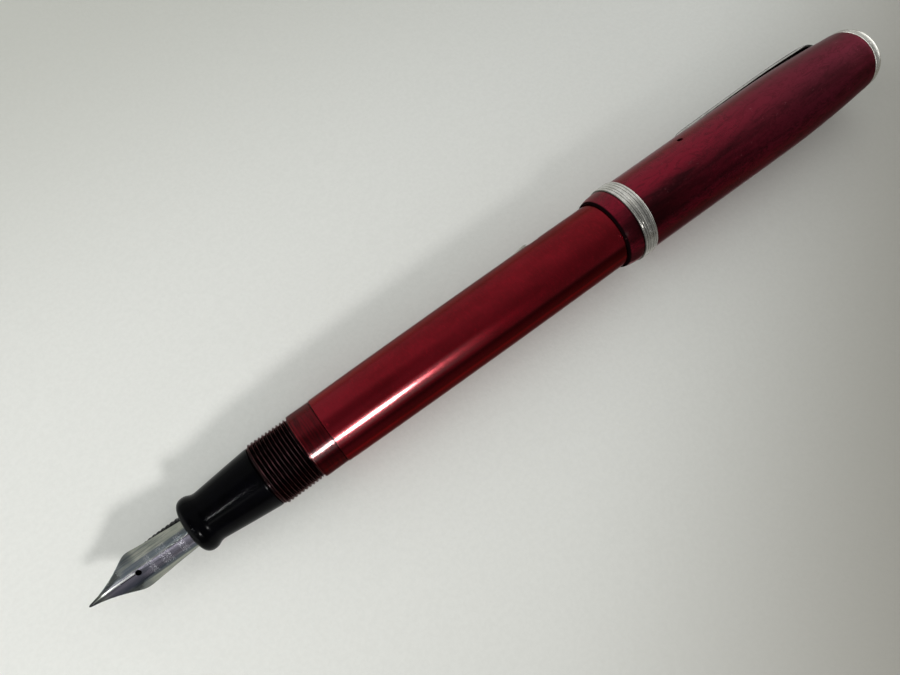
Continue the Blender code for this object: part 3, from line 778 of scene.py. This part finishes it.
class Nodes:
    """A short way to write a node tree."""

    def __init__(self, tree):
        self.tree = tree

    def put(self, socket, value):
        if isinstance(value, bpy.types.NodeSocket):
            self.tree.links.new(value, socket)
        elif value is not None:
            socket.default_value = value

    def node(self, kind, *values, **named):
        """Adds a node and fills its inputs, by order or by name."""
        node = self.tree.nodes.new("ShaderNode" + kind)
        for place, value in enumerate(values):
            self.put(node.inputs[place], value)
        for name, value in named.items():
            self.put(node.inputs[name.replace("_", " ")], value)
        return node

    def math(self, operation, a, b=None, clamp=False):
        node = self.node("Math", a, b)
        node.operation = operation
        node.use_clamp = clamp
        return node.outputs[0]

    def times(self, a, b):
        return self.math("MULTIPLY", a, b)

    def plus(self, a, b, clamp=False):
        return self.math("ADD", a, b, clamp)

    def minus(self, a, b):
        return self.math("SUBTRACT", a, b)

    def most(self, a, b):
        return self.math("MAXIMUM", a, b)

    def vector(self, operation, a, b=None, scale=None):
        node = self.node("VectorMath", a, b)
        node.operation = operation
        if scale is not None:
            self.put(node.inputs["Scale"], scale)
        return node.outputs["Value" if operation == "DOT_PRODUCT" else "Vector"]

    def ramp(self, value, low, high, bottom=0.0, top=1.0):
        """Eased step from bottom to top as the value goes from low to high."""
        limits = {"From_Min": low, "From_Max": high, "To_Min": bottom, "To_Max": top}
        node = self.node("MapRange", Value=value, **limits)
        node.interpolation_type = "SMOOTHSTEP"
        return node.outputs["Result"]

    def fade(self, value, low, high):
        """Eased step down from 1 to 0."""
        return self.ramp(value, low, high, 1.0, 0.0)

    def between(self, value, low, high, soft):
        """1 from low to high, with a soft edge outside each."""
        return self.times(self.ramp(value, low - soft, low), self.fade(value, high, high + soft))


class Paint(Nodes):
    """One material, with s, y, z and radius on the pen in millimetres and turn in degrees."""

    def __init__(self, name):
        self.mat = bpy.data.materials.new(name)
        self.mat.use_nodes = True
        super().__init__(self.mat.node_tree)
        coordinate = self.node("TexCoord").outputs["Object"]
        shifted = self.vector("SUBTRACT", coordinate, (X_AT_ZERO, AXIS_Y, AXIS_Z))
        place = self.vector("SCALE", shifted, scale=1 / MM)
        self.s, self.y, self.z = self.node("SeparateXYZ", place).outputs
        squares = self.plus(self.times(self.y, self.y), self.times(self.z, self.z))
        self.radius = self.math("SQRT", squares)
        self.turn = self.times(self.math("ARCTAN2", self.z, self.y), 180 / pi)

    def material(self, **values):
        """Gives the material the colour and the shader's other inputs."""
        shader = self.tree.nodes["Principled BSDF"]
        self.put(shader.inputs["Base Color"], self.colour)
        for name, value in values.items():
            self.put(shader.inputs[name.replace("_", " ")], value)
        return self.mat

    def stretched(self, along, around):
        """Coordinates for patterns that run along or around the pen: millimetres times each scale."""
        parts = self.times(self.s, along), self.times(self.y, around), self.times(self.z, around)
        return self.node("CombineXYZ", *parts).outputs[0]

    def noise(self, along, around, detail=4.0, roughness=0.6, distortion=0.0):
        node = self.node(
            "TexNoise", Vector=self.stretched(along, around), Scale=1.0, Detail=detail,
            Roughness=roughness, Distortion=distortion
        )
        return node.outputs["Fac"]

    def spots(self, along, around, low, high):
        """1 in scattered small spots, 0 elsewhere."""
        node = self.node("TexVoronoi", Vector=self.stretched(along, around), Scale=1.0)
        return self.fade(node.outputs["Distance"], low, high)

    def scratches(self, along, around, low, high):
        """Thin lines where stretched noise crosses a narrow range."""
        return self.between(self.noise(along, around, 5.0, 0.7), low, high, 0.004)

    def mix(self, factor, a, b):
        """Colour between a and b by the factor; each is a node's colour or (red, green, blue)."""
        node = self.node("Mix", factor)
        node.data_type = "RGBA"
        for socket, colour in ((node.inputs[6], a), (node.inputs[7], b)):
            self.put(socket, (*colour, 1.0) if isinstance(colour, tuple) else colour)
        return node.outputs[2]

    def lay(self, mask, tone, share=None):
        """Lays a tone over the colour where the mask is, at most by the share."""
        if share is not None:
            mask = self.times(mask, share)
        self.colour = self.mix(mask, self.colour, tone)

    def blend(self, factor, a, b):
        """Number between a and b by the factor."""
        return self.node("Mix", factor, None, a, b).outputs[0]

    def bump(self, height, distance):
        return self.node("Bump", Height=height, Distance=distance, Strength=1.0).outputs["Normal"]


def paint_barrel():
    p = Paint("barrel_pearl")
    in_thread = p.fade(p.s, ZONE_START - 0.1, ZONE_START)
    in_zone = p.between(p.s, ZONE_START, ZONE_END, 0.02)
    fine = p.noise(16.0, 0.55, 6.0, 0.75)
    cloud = p.noise(0.16, 0.3, 3.0, 0.6)
    pearl = p.noise(3.2, 1.2, 4.0, 0.65)
    speck = p.spots(1.6, 1.6, 0.04, 0.1)
    p.colour = p.mix(p.ramp(cloud, 0.3, 0.7), (0.14, 0.0018, 0.0062), (0.19, 0.0032, 0.01))
    p.lay(p.ramp(fine, 0.52, 0.75), (0.12, 0.0015, 0.005), 0.35)
    p.lay(p.ramp(pearl, 0.45, 0.7), (0.3, 0.005, 0.016), 0.3)
    p.lay(speck, (0.05, 0.001, 0.002), 0.6)
    front = p.fade(p.s, 37.0, 48.0)
    p.lay(front, (0.25, 0.01, 0.022), 0.4)
    turning = p.noise(5.5, 0.3, 5.0, 0.7)
    dull = p.mix(p.ramp(turning, 0.4, 0.62), (0.115, 0.0025, 0.007), (0.038, 0.0012, 0.003))
    # The thread's crests are painted lighter in patches: partly wear, partly a painted highlight for
    # the glints on the crests.
    crest = p.ramp(p.radius, THREAD_CREST - 0.09, THREAD_CREST - 0.03)
    worn = p.times(crest, p.ramp(p.noise(2.0, 0.8), 0.32, 0.62))
    thread = p.mix(worn, (0.006, 0.0015, 0.002), (0.036, 0.01, 0.012))
    p.lay(in_zone, dull)
    p.lay(in_thread, thread)
    line = p.between(p.s, ZONE_END - 0.13, ZONE_END - 0.02, 0.02)
    p.lay(line, (0.015, 0.001, 0.002))
    # Painted reflection and shade: a dark band just below the highlight, and the barrel's underside
    # darkened.
    lower = p.between(p.turn, 142.0, 156.0, 8.0)
    under = p.ramp(p.turn, 150.0, 172.0)
    lower = p.most(lower, p.times(under, 0.75))
    p.lay(lower, (0.016, 0.0004, 0.001), 0.8)
    # Painted shade on the inner faces of the barrel's bore.
    inside = p.fade(p.radius, 4.2, 4.35)
    p.lay(inside, (0.02, 0.002, 0.003), p.ramp(p.s, 28.0, 30.0))
    rough = p.plus(0.195, p.times(p.ramp(fine, 0.35, 0.75), 0.07))
    rough = p.blend(in_zone, rough, 0.22)
    rough = p.blend(in_thread, rough, 0.24)
    lathe = p.times(turning, p.plus(0.7, p.times(in_zone, 5.0)))
    lines = p.scratches(1.1, 0.25, 0.66, 0.664)
    height = p.plus(p.times(fine, 0.7), lathe)
    height = p.minus(height, p.times(lines, 1.2))
    height = p.minus(height, p.times(speck, 0.4))
    coat = p.blend(p.ramp(p.turn, 30.0, 80.0), 0.15, 0.06)
    sheen = p.times(p.between(p.turn, 119.0, 130.0, 6.0), p.fade(p.s, 46.0, 66.0))
    coat = p.blend(sheen, coat, 0.9)
    coat = p.blend(p.ramp(p.turn, 136.0, 144.0), coat, 0.01)
    coat = p.blend(in_thread, coat, 0.06)
    return p.material(
        Roughness=rough, Metallic=0.94, IOR=1.45, Coat_Weight=coat, Coat_Roughness=0.14, Coat_IOR=2.0,
        Specular_Tint=(0.48, 0.3, 0.31, 1.0), Normal=p.bump(height, 0.0000035),
        Coat_Normal=p.bump(height, 0.0000025)
    )


def paint_cap():
    p = Paint("cap_pearl")
    smoke = p.noise(0.045, 0.36, 6.0, 0.6, 0.5)
    patch = p.noise(0.12, 0.5, 5.0, 0.62, 0.8)
    vein = p.noise(0.16, 0.42, 5.0, 0.66, 1.6)
    fine = p.noise(2.6, 0.5, 4.0, 0.6)
    grain = p.noise(2.4, 2.4, 3.0, 0.6)
    along = p.ramp(p.s, 96.0, 138.0)
    red = p.mix(along, (0.2, 0.0075, 0.022), (0.14, 0.0165, 0.033))
    dark = p.mix(along, (0.035, 0.0015, 0.0045), (0.048, 0.005, 0.01))
    # Painted reflection: a dark band along the cap at a fixed angle around it, clouded by the smoke
    # noise; the patch clouds added to it are the cap's own darkening.
    band = p.between(p.turn, 106.0, 132.0, 24.0)
    drift = p.ramp(smoke, 0.38, 0.64)
    dark_reflection_and_stain = p.times(band, p.plus(0.42, p.times(drift, 0.5)))
    dark_reflection_and_stain = p.plus(dark_reflection_and_stain, p.times(p.ramp(patch, 0.5, 0.72), 0.3), clamp=True)
    p.colour = p.mix(dark_reflection_and_stain, red, dark)
    streak = p.between(vein, 0.49, 0.505, 0.02)
    p.lay(streak, (0.04, 0.0035, 0.007), 0.42)
    lower = p.between(p.turn, 136.0, 176.0, 10.0)
    wave = p.between(p.noise(0.28, 1.3, 5.0, 0.62, 0.9), 0.47, 0.5, 0.018)
    p.lay(p.times(lower, wave), (0.022, 0.002, 0.004), 0.65)
    p.lay(p.ramp(grain, 0.5, 0.75), (0.26, 0.045, 0.06), 0.12)
    # Painted shade on the cap's lower side, fading by half towards the crown.
    under = p.times(p.ramp(p.turn, 134.0, 166.0), p.ramp(p.s, 98.0, 118.0, 1.0, 0.5))
    p.lay(under, (0.022, 0.003, 0.0045), 0.8)
    # Painted reflection: the dark band deepens near the cap's mouth.
    front = p.times(p.fade(p.s, 92.0, 106.0), p.between(p.turn, 114.0, 136.0, 12.0))
    p.lay(front, (0.01, 0.0004, 0.0012), 0.72)
    # Painted shade: a black line at the cap's mouth, where its edge meets the barrel.
    mouth = p.fade(p.s, CAP_MOUTH + 0.25, CAP_MOUTH + 0.5)
    p.lay(mouth, (0.004, 0.001, 0.0015))
    # Painted shade on the cap's inner faces.
    inside = p.fade(p.radius, 5.15, 5.25)
    inside = p.times(inside, p.fade(p.s, 140.0, 141.0))
    p.lay(inside, (0.02, 0.002, 0.004))
    nicks = p.times(p.scratches(0.5, 0.9, 0.66, 0.663), p.ramp(patch, 0.5, 0.55))
    p.lay(nicks, (0.4, 0.16, 0.18), 0.6)
    rough = p.plus(p.ramp(p.s, 95.0, 141.0, 0.24, 0.34), p.times(p.ramp(fine, 0.4, 0.8), 0.04))
    rough = p.blend(p.fade(p.s, 89.0, 89.6), rough, 0.52)
    rough = p.blend(mouth, rough, 0.7)
    height = p.plus(p.times(fine, 0.3), p.times(grain, 0.25))
    height = p.minus(height, p.times(nicks, 0.8))
    coat = p.blend(p.ramp(p.turn, 30.0, 84.0), 0.42, 0.12)
    coat = p.blend(p.ramp(p.turn, 96.0, 130.0), coat, 0.03)
    coat = p.blend(mouth, coat, 0.0)
    return p.material(
        Roughness=rough, Metallic=0.9, IOR=1.45, Coat_Weight=coat, Coat_Roughness=0.24,
        Specular_Tint=(0.5, 0.34, 0.37, 1.0), Normal=p.bump(height, 0.000004),
        Coat_Normal=p.bump(height, 0.000003)
    )


def paint_section():
    p = Paint("section_polish")
    smear = p.noise(0.35, 0.5, 4.0, 0.6, 0.6)
    fine = p.noise(12.0, 0.7, 4.0, 0.7)
    hair = p.scratches(0.5, 0.9, 0.6, 0.603)
    p.colour = p.mix(p.ramp(smear, 0.35, 0.7), (0.0001, 0.0001, 0.0004), (0.0004, 0.0004, 0.0012))
    rough = p.plus(p.ramp(smear, 0.35, 0.75, 0.14, 0.2), p.times(hair, 0.15))
    height = p.minus(p.times(fine, 0.4), p.times(hair, 0.6))
    return p.material(
        Roughness=rough, Metallic=0.0, IOR=1.11, Coat_Weight=0.025, Coat_Roughness=0.26,
        Normal=p.bump(height, 0.000002)
    )


def nib_place(p):
    """Across the nib from its ridge line, in millimetres, as a signed distance."""
    a = radians(NIB_ANGLE)
    return p.plus(p.times(p.y, -sin(a)), p.times(p.z, cos(a)))


def paint_nib():
    p = Paint("nib_steel")
    across = nib_place(p)
    off = p.math("ABSOLUTE", across)
    grind = p.noise(0.5, 8.0, 5.0, 0.7)
    cloud = p.noise(0.5, 0.9, 4.0, 0.6)
    pits = p.spots(2.6, 2.6, 0.05, 0.14)
    # Worn ornament of no particular design: short thin strokes in three rows across the body.
    strokes = p.between(p.noise(5.0, 5.0, 1.0, 0.5), 0.5, 0.515, 0.02)
    rows = p.between(p.s, 9.1, 9.7, 0.15)
    for low, high in ((10.8, 12.0), (13.4, 14.2)):
        rows = p.most(rows, p.between(p.s, low, high, 0.15))
    rows = p.times(rows, p.between(across, -1.3, 1.3, 0.2))
    marks = p.times(rows, strokes)
    stain = p.times(rows, p.ramp(cloud, 0.45, 0.7))
    tines = p.fade(p.s, 7.4, 8.6)
    p.colour = p.mix(p.ramp(cloud, 0.3, 0.7), (0.27, 0.285, 0.245), (0.37, 0.375, 0.32))
    # Painted reflection: a violet-grey band down the nib's middle from near the tip.
    violet = p.times(p.between(across, -0.35, 1.2, 0.3), p.ramp(p.s, 2.0, 4.0))
    p.lay(violet, (0.235, 0.215, 0.285), 0.85)
    # Darker streaks along the nib.
    lengthwise_streaks = p.noise(0.1, 3.4, 4.0, 0.6)
    p.lay(p.ramp(lengthwise_streaks, 0.46, 0.62), (0.075, 0.09, 0.11), 0.62)
    p.lay(p.ramp(grind, 0.5, 0.72), (0.13, 0.14, 0.155), 0.3)
    # Painted reflections: two dark bands along the nib's body beside the ridge, and darker flanks on
    # the tines.
    bands = p.most(p.between(across, -1.25, -0.7, 0.25), p.between(across, 1.2, 1.6, 0.22))
    bands = p.times(bands, p.ramp(p.s, 4.5, 6.5))
    flanks = p.times(tines, p.ramp(off, 0.4, 0.75))
    dark = p.most(p.times(bands, 0.78), p.times(flanks, 0.55))
    p.lay(dark, (0.045, 0.06, 0.085))
    # Painted highlight: a bright line on the +Y side of the slit.
    edge = p.times(p.between(across, -0.3, -0.13, 0.06), p.between(p.s, 2.8, 7.0, 0.5))
    p.lay(edge, (0.88, 0.9, 0.87))
    p.lay(pits, (0.08, 0.08, 0.09), 0.35)
    p.lay(stain, (0.19, 0.19, 0.24), 0.1)
    p.lay(marks, (0.78, 0.79, 0.82), 0.45)
    tip = p.fade(p.s, 1.0, 3.0)
    p.lay(tip, (0.03, 0.033, 0.036), 0.85)
    body = p.ramp(p.s, 8.0, 9.0)
    rough = p.plus(p.ramp(grind, 0.3, 0.7, 0.1, 0.19), p.times(body, 0.08))
    upper = p.times(p.fade(across, -0.75, -0.45), p.ramp(p.s, 5.0, 6.0))
    rough = p.plus(rough, p.times(marks, 0.2))
    rough = p.plus(rough, p.times(upper, 0.24))
    height = p.minus(p.times(grind, 0.12), p.times(marks, 0.25))
    height = p.minus(height, p.times(pits, 0.3))
    return p.material(Roughness=rough, Metallic=1.0, Normal=p.bump(height, 0.000005))


def paint_plain(name, dark, light, rough, grain, cloud, relief, **more):
    """Two tones in soft clouds, with a fine grain in the gloss and on the surface.

    rough is the range of roughness, grain a noise, and cloud a noise and the two values it is cut at.
    """
    p = Paint(name)
    fine = p.noise(*grain)
    p.colour = p.mix(p.ramp(p.noise(*cloud[:4]), *cloud[4:]), dark, light)
    return p.material(Roughness=p.ramp(fine, 0.3, 0.7, *rough), Normal=p.bump(fine, relief), **more)


def paint_nickel(name, tone, worn_tone, low, high, around=0.8, along=10.0, recess_darkening=0.0, shade=None):
    """Plated metal: brushed around the pen, patchy, scratched, darker where it is let in, and with
    painted shade where one is given.
    """
    p = Paint(name)
    brush = p.noise(along, around, 6.0, 0.7)
    patch = p.noise(0.7, 0.8, 4.0, 0.6)
    hair = p.scratches(0.9, 1.3, 0.59, 0.594)
    pits = p.spots(1.9, 1.9, 0.05, 0.16)
    p.colour = p.mix(p.ramp(patch, 0.35, 0.7), tone, worn_tone)
    p.lay(p.ramp(brush, 0.45, 0.75), (0.22, 0.21, 0.19), 0.3)
    p.lay(pits, (0.1, 0.09, 0.08), 0.5)
    if recess_darkening:
        # Darker in the turned lines and on the rounded edges, below the outer face.
        recess_mask = p.fade(p.radius, 6.26, 6.335)
        for place in BAND_LINES:
            thin = p.between(p.s, place - 0.035, place + 0.035, 0.035)
            recess_mask = p.most(recess_mask, p.times(thin, p.ramp(patch, 0.2, 0.5, 0.5, 1.0)))
        p.lay(recess_mask, (0.05, 0.047, 0.04), recess_darkening)
    if shade:
        p.lay(shade(p), (0.022, 0.02, 0.018))
    rough = p.plus(p.ramp(brush, 0.3, 0.75, low, high), p.times(hair, 0.15))
    height = p.minus(brush, p.times(hair, 0.7))
    return p.material(Roughness=rough, Metallic=1.0, Normal=p.bump(height, 0.000008))


def clip_rim(p):
    """Painted shade along the clip's outer corner and at its tip, and a painted shadow in the seam
    beside the cap.
    """
    a = radians(CLIP_ANGLE)
    lift = p.plus(p.times(p.y, cos(a)), p.times(p.z, sin(a)))
    rise = p.ramp(p.s, 109.0, 125.0, 6.45, 6.6)
    fall = p.ramp(p.s, 128.0, 137.0, 0.0, 0.24)
    above = p.minus(lift, p.minus(rise, fall))
    tip = p.fade(p.s, 108.52, 108.8)
    seam = p.times(p.fade(above, -0.2, -0.11), p.ramp(p.s, 112.6, 113.6))
    rim = p.most(p.ramp(above, 0.11, 0.17), tip)
    return p.times(p.most(rim, seam), 0.95)


def band_shade(p):
    """Painted shade on the band's lower side."""
    lower = p.between(p.turn, 104.0, 160.0, 22.0)
    return p.times(lower, 0.46)


def paint_moulding(name, base):
    """Black moulded rubber."""
    dark, light = (base, base, base * 1.1), (base * 2, base * 2, base * 2.1)
    return paint_plain(
        name, dark, light, (0.38, 0.55), (4.0, 4.0), (0.3, 1.2, 3.0, 0.5, 0.35, 0.7), 0.00001
    )


def paint_floor():
    """Pale paper with a faint grain, and painted shade darkening it towards the cap's end and both long
    sides.
    """
    p = Paint("paper_floor")
    grain = p.noise(1.5, 1.5, 6.0, 0.65)
    x = p.minus(p.s, -X_AT_ZERO / MM)
    away = p.minus(p.times(x, 0.6), p.times(p.y, 0.8))
    p.colour = p.mix(p.ramp(grain, 0.3, 0.7), (0.745, 0.75, 0.725), (0.775, 0.78, 0.755))
    # Painted shade: the paper darkens towards the cap's end and towards -Y, and again far out on +Y.
    p.lay(p.ramp(away, 12.0, 80.0, 0.0, 0.92), (0.27, 0.25, 0.212))
    p.lay(p.ramp(p.y, -70.0, 0.0, 0.4, 0.0), (0.4, 0.39, 0.36))
    p.lay(p.ramp(p.y, 25.0, 105.0, 0.0, 0.55), (0.45, 0.455, 0.405))
    return p.material(Roughness=0.75, Specular_IOR_Level=0.2, Normal=p.bump(grain, 0.00004))


# ---- floor, light and camera


def build_floor():
    """The pen tips forward onto its thread and its cap band, so the floor is a plane under both."""
    rest_front = world_point(BARREL_FRONT + 0.1, THREAD_CREST, -90.0)
    rest_rear = Vector((world_point(sum(BAND) / 2).x, AXIS_Y, BAND_LOW.z))
    slope = (rest_front.z - rest_rear.z) / (rest_front.x - rest_rear.x)
    clearance = 0.00003
    half = 1.5
    verts = []
    for x, y in ((-half, -half), (half, -half), (half, half), (-half, half)):
        verts.append((x, y, rest_rear.z + slope * (x - rest_rear.x) - clearance))
    mesh = bpy.data.meshes.new("floor")
    mesh.from_pydata(verts, [], [(0, 1, 2, 3)])
    floor = bpy.data.objects.new("floor", mesh)
    bpy.context.scene.collection.objects.link(floor)
    mesh.materials.append(paint_floor())


def aim(obj, place, target, up=(0.0, 0.0, 1.0)):
    back = (Vector(place) - Vector(target)).normalized()
    right = Vector(up).cross(back).normalized()
    above = back.cross(right)
    turned_to = Matrix((right, above, back)).transposed().to_4x4()
    obj.matrix_world = Matrix.Translation(Vector(place)) @ turned_to


def area_light(name, place, target, size, power, colour, up=(0.0, 0.0, 1.0)):
    data = bpy.data.lights.new(name, "AREA")
    data.shape = "RECTANGLE"
    data.size, data.size_y = size
    data.energy = power
    data.color = colour
    light = bpy.data.objects.new(name, data)
    bpy.context.scene.collection.objects.link(light)
    aim(light, place, target, up)
    return light


def build_world():
    """Soft room light: bright towards +Y and at both ends, dim towards -Y and straight above."""
    world = bpy.data.worlds.new("room")
    bpy.context.scene.world = world
    world.use_nodes = True
    w = Nodes(world.node_tree)
    direction = w.node("TexCoord").outputs["Generated"]
    x, y, _ = w.node("SeparateXYZ", direction).outputs
    above = w.vector("DOT_PRODUCT", direction, Vector((-0.2, 0.05, 0.98)).normalized())
    sky = w.times(w.ramp(y, -0.75, 0.6, 0.26, 0.68), w.ramp(above, 0.9, 0.985, 1.0, 0.4))
    ends = w.plus(w.ramp(x, -0.7, -0.5, 1.6, 0.0), w.ramp(x, 0.84, 0.95, 0.0, 1.8))
    background = w.tree.nodes["Background"]
    background.inputs["Color"].default_value = (0.985, 1.0, 0.975, 1.0)
    w.put(background.inputs["Strength"], w.plus(sky, ends))


def build_lights():
    """A small oval lamp over the barrel, a thin strip by the grip, a strip and a card by the nib."""
    centre = world_point(41.0)
    key = centre + outward(141.0) * 0.5
    lamp = area_light("key", key, centre + Vector((-0.07, 0.0, 0.0)), (0.08, 0.073), 0.055,
                      (1.0, 0.985, 0.965))
    lamp.data.shape = "ELLIPSE"
    lamp.data.spread = radians(36)
    grip = world_point(16.1)
    line = grip + Vector((-0.4, -0.328, 0.855)) * 0.12
    strip_light = area_light(
        "line", line, world_point(22.0), (0.0007, 0.0135), 0.00011, (1.0, 1.0, 1.0), up=(1.0, 0.0, 0.0)
    )
    strip_light.data.spread = radians(16)
    nib = world_point(5.0, 2.0, NIB_ANGLE)
    edge = nib + Vector((-0.375, -0.632, 0.678)) * 0.4
    area_light("edge", edge, nib, (0.04, 0.075), 0.022, (1.0, 1.0, 0.98), up=(1.0, 0.0, 0.0))
    card = nib + Vector((-0.38, -0.8, 0.47)) * 0.45
    area_light("card", card, nib, (0.26, 0.22), 0.016, (0.95, 0.93, 1.0), up=(1.0, 0.0, 0.0))


def build_camera():
    """Over the barrel, looking down and towards the cap, with the pen running up to the right."""
    data = bpy.data.cameras.new("camera")
    camera = bpy.data.objects.new("camera", data)
    bpy.context.scene.collection.objects.link(camera)
    data.sensor_width = SENSOR_WIDTH
    data.lens = LENS
    data.clip_start = 0.001
    data.clip_end = 10.0
    forward = CAMERA_FORWARD.normalized()
    right = CAMERA_RIGHT.normalized()
    turned_to = Matrix((right, right.cross(forward), -forward)).transposed().to_4x4()
    place = world_point(CAMERA_AT) + CAMERA_OFFSET * MM
    camera.matrix_world = Matrix.Translation(place) @ turned_to
    bpy.context.scene.camera = camera


# ---- assembly


def place_piece(piece, body, node, material):
    piece.data.materials.clear()
    piece.data.materials.append(material)
    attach(piece, body)
    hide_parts(node)


def main():
    steel = paint_nib()
    place_piece(build_nib(), "pen", "nib", steel)
    alloy = paint_plain(
        "tipping_alloy", (0.06, 0.06, 0.065), (0.13, 0.13, 0.14), (0.2, 0.34), (9.0, 9.0, 3.0),
        (9.0, 9.0, 3.0, 0.6, 0.3, 0.7), 0.000006, Metallic=1.0
    )
    tipping = build_tipping()
    tipping.data.materials.append(alloy)
    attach(tipping, "pen")
    ebonite = paint_plain(
        "feed_ebonite", (0.001, 0.001, 0.0015), (0.003, 0.003, 0.005), (0.28, 0.5), (6.0, 6.0),
        (0.8, 0.9, 3.0, 0.5, 0.4, 0.65), 0.00001, IOR=1.15
    )
    place_piece(build_feed(), "pen", "feed", ebonite)
    place_piece(build_section(), "pen", "grip_section", paint_section())
    place_piece(build_barrel(), "pen", "barrel", paint_barrel())
    lever_metal = paint_nickel("lever_plate", (0.55, 0.53, 0.48), (0.36, 0.34, 0.3), 0.22, 0.42)
    place_piece(build_lever(), "lever", "lever", lever_metal)
    wire = paint_nickel("pin_wire", (0.45, 0.45, 0.45), (0.35, 0.34, 0.33), 0.3, 0.45)
    place_piece(build_pin(), "pen", "lever_pin", wire)
    spring = paint_nickel("spring_steel", (0.42, 0.42, 0.43), (0.3, 0.29, 0.28), 0.3, 0.48, 4.0, 0.8)
    place_piece(build_pressure_bar(), "pressure_bar", "pressure_bar", spring)
    latex = paint_plain(
        "sac_latex", (0.06, 0.045, 0.035), (0.13, 0.1, 0.08), (0.55, 0.75), (3.0, 3.0, 5.0, 0.65),
        (0.25, 0.5, 4.0, 0.6, 0.35, 0.7), 0.00003
    )
    sac = build_sac()
    place_piece(sac, "pen", "ink_sac", latex)
    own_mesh(sac)
    place_piece(build_cap(), "cap", "cap_shell", paint_cap())
    band_metal = paint_nickel(
        "band_plate", (0.74, 0.725, 0.69), (0.6, 0.58, 0.54), 0.2, 0.34, 0.9, 14.0, recess_darkening=0.85,
        shade=band_shade
    )
    place_piece(build_band(), "cap", "cap_band", band_metal)
    moulding = paint_moulding("liner_moulding", 0.01)
    place_piece(build_liner(), "cap", "inner_cap", moulding)
    clip_metal = paint_nickel(
        "clip_plate", (0.56, 0.55, 0.52), (0.4, 0.39, 0.37), 0.12, 0.24, 6.0, 0.7, shade=clip_rim
    )
    place_piece(build_clip(), "clip", "pocket_clip", clip_metal)
    moulding = paint_moulding("plug_moulding", 0.012)
    place_piece(build_plug(), "cap", "crown_plug", moulding)
    crown_metal = paint_nickel(
        "crown_plate", (0.66, 0.65, 0.61), (0.52, 0.5, 0.46), 0.18, 0.34, 1.0, 8.0
    )
    place_piece(build_crown(), "cap", "crown_disc", crown_metal)
    build_floor()
    build_world()
    build_lights()
    build_camera()
    bpy.context.scene.view_settings.view_transform = "Standard"


main()
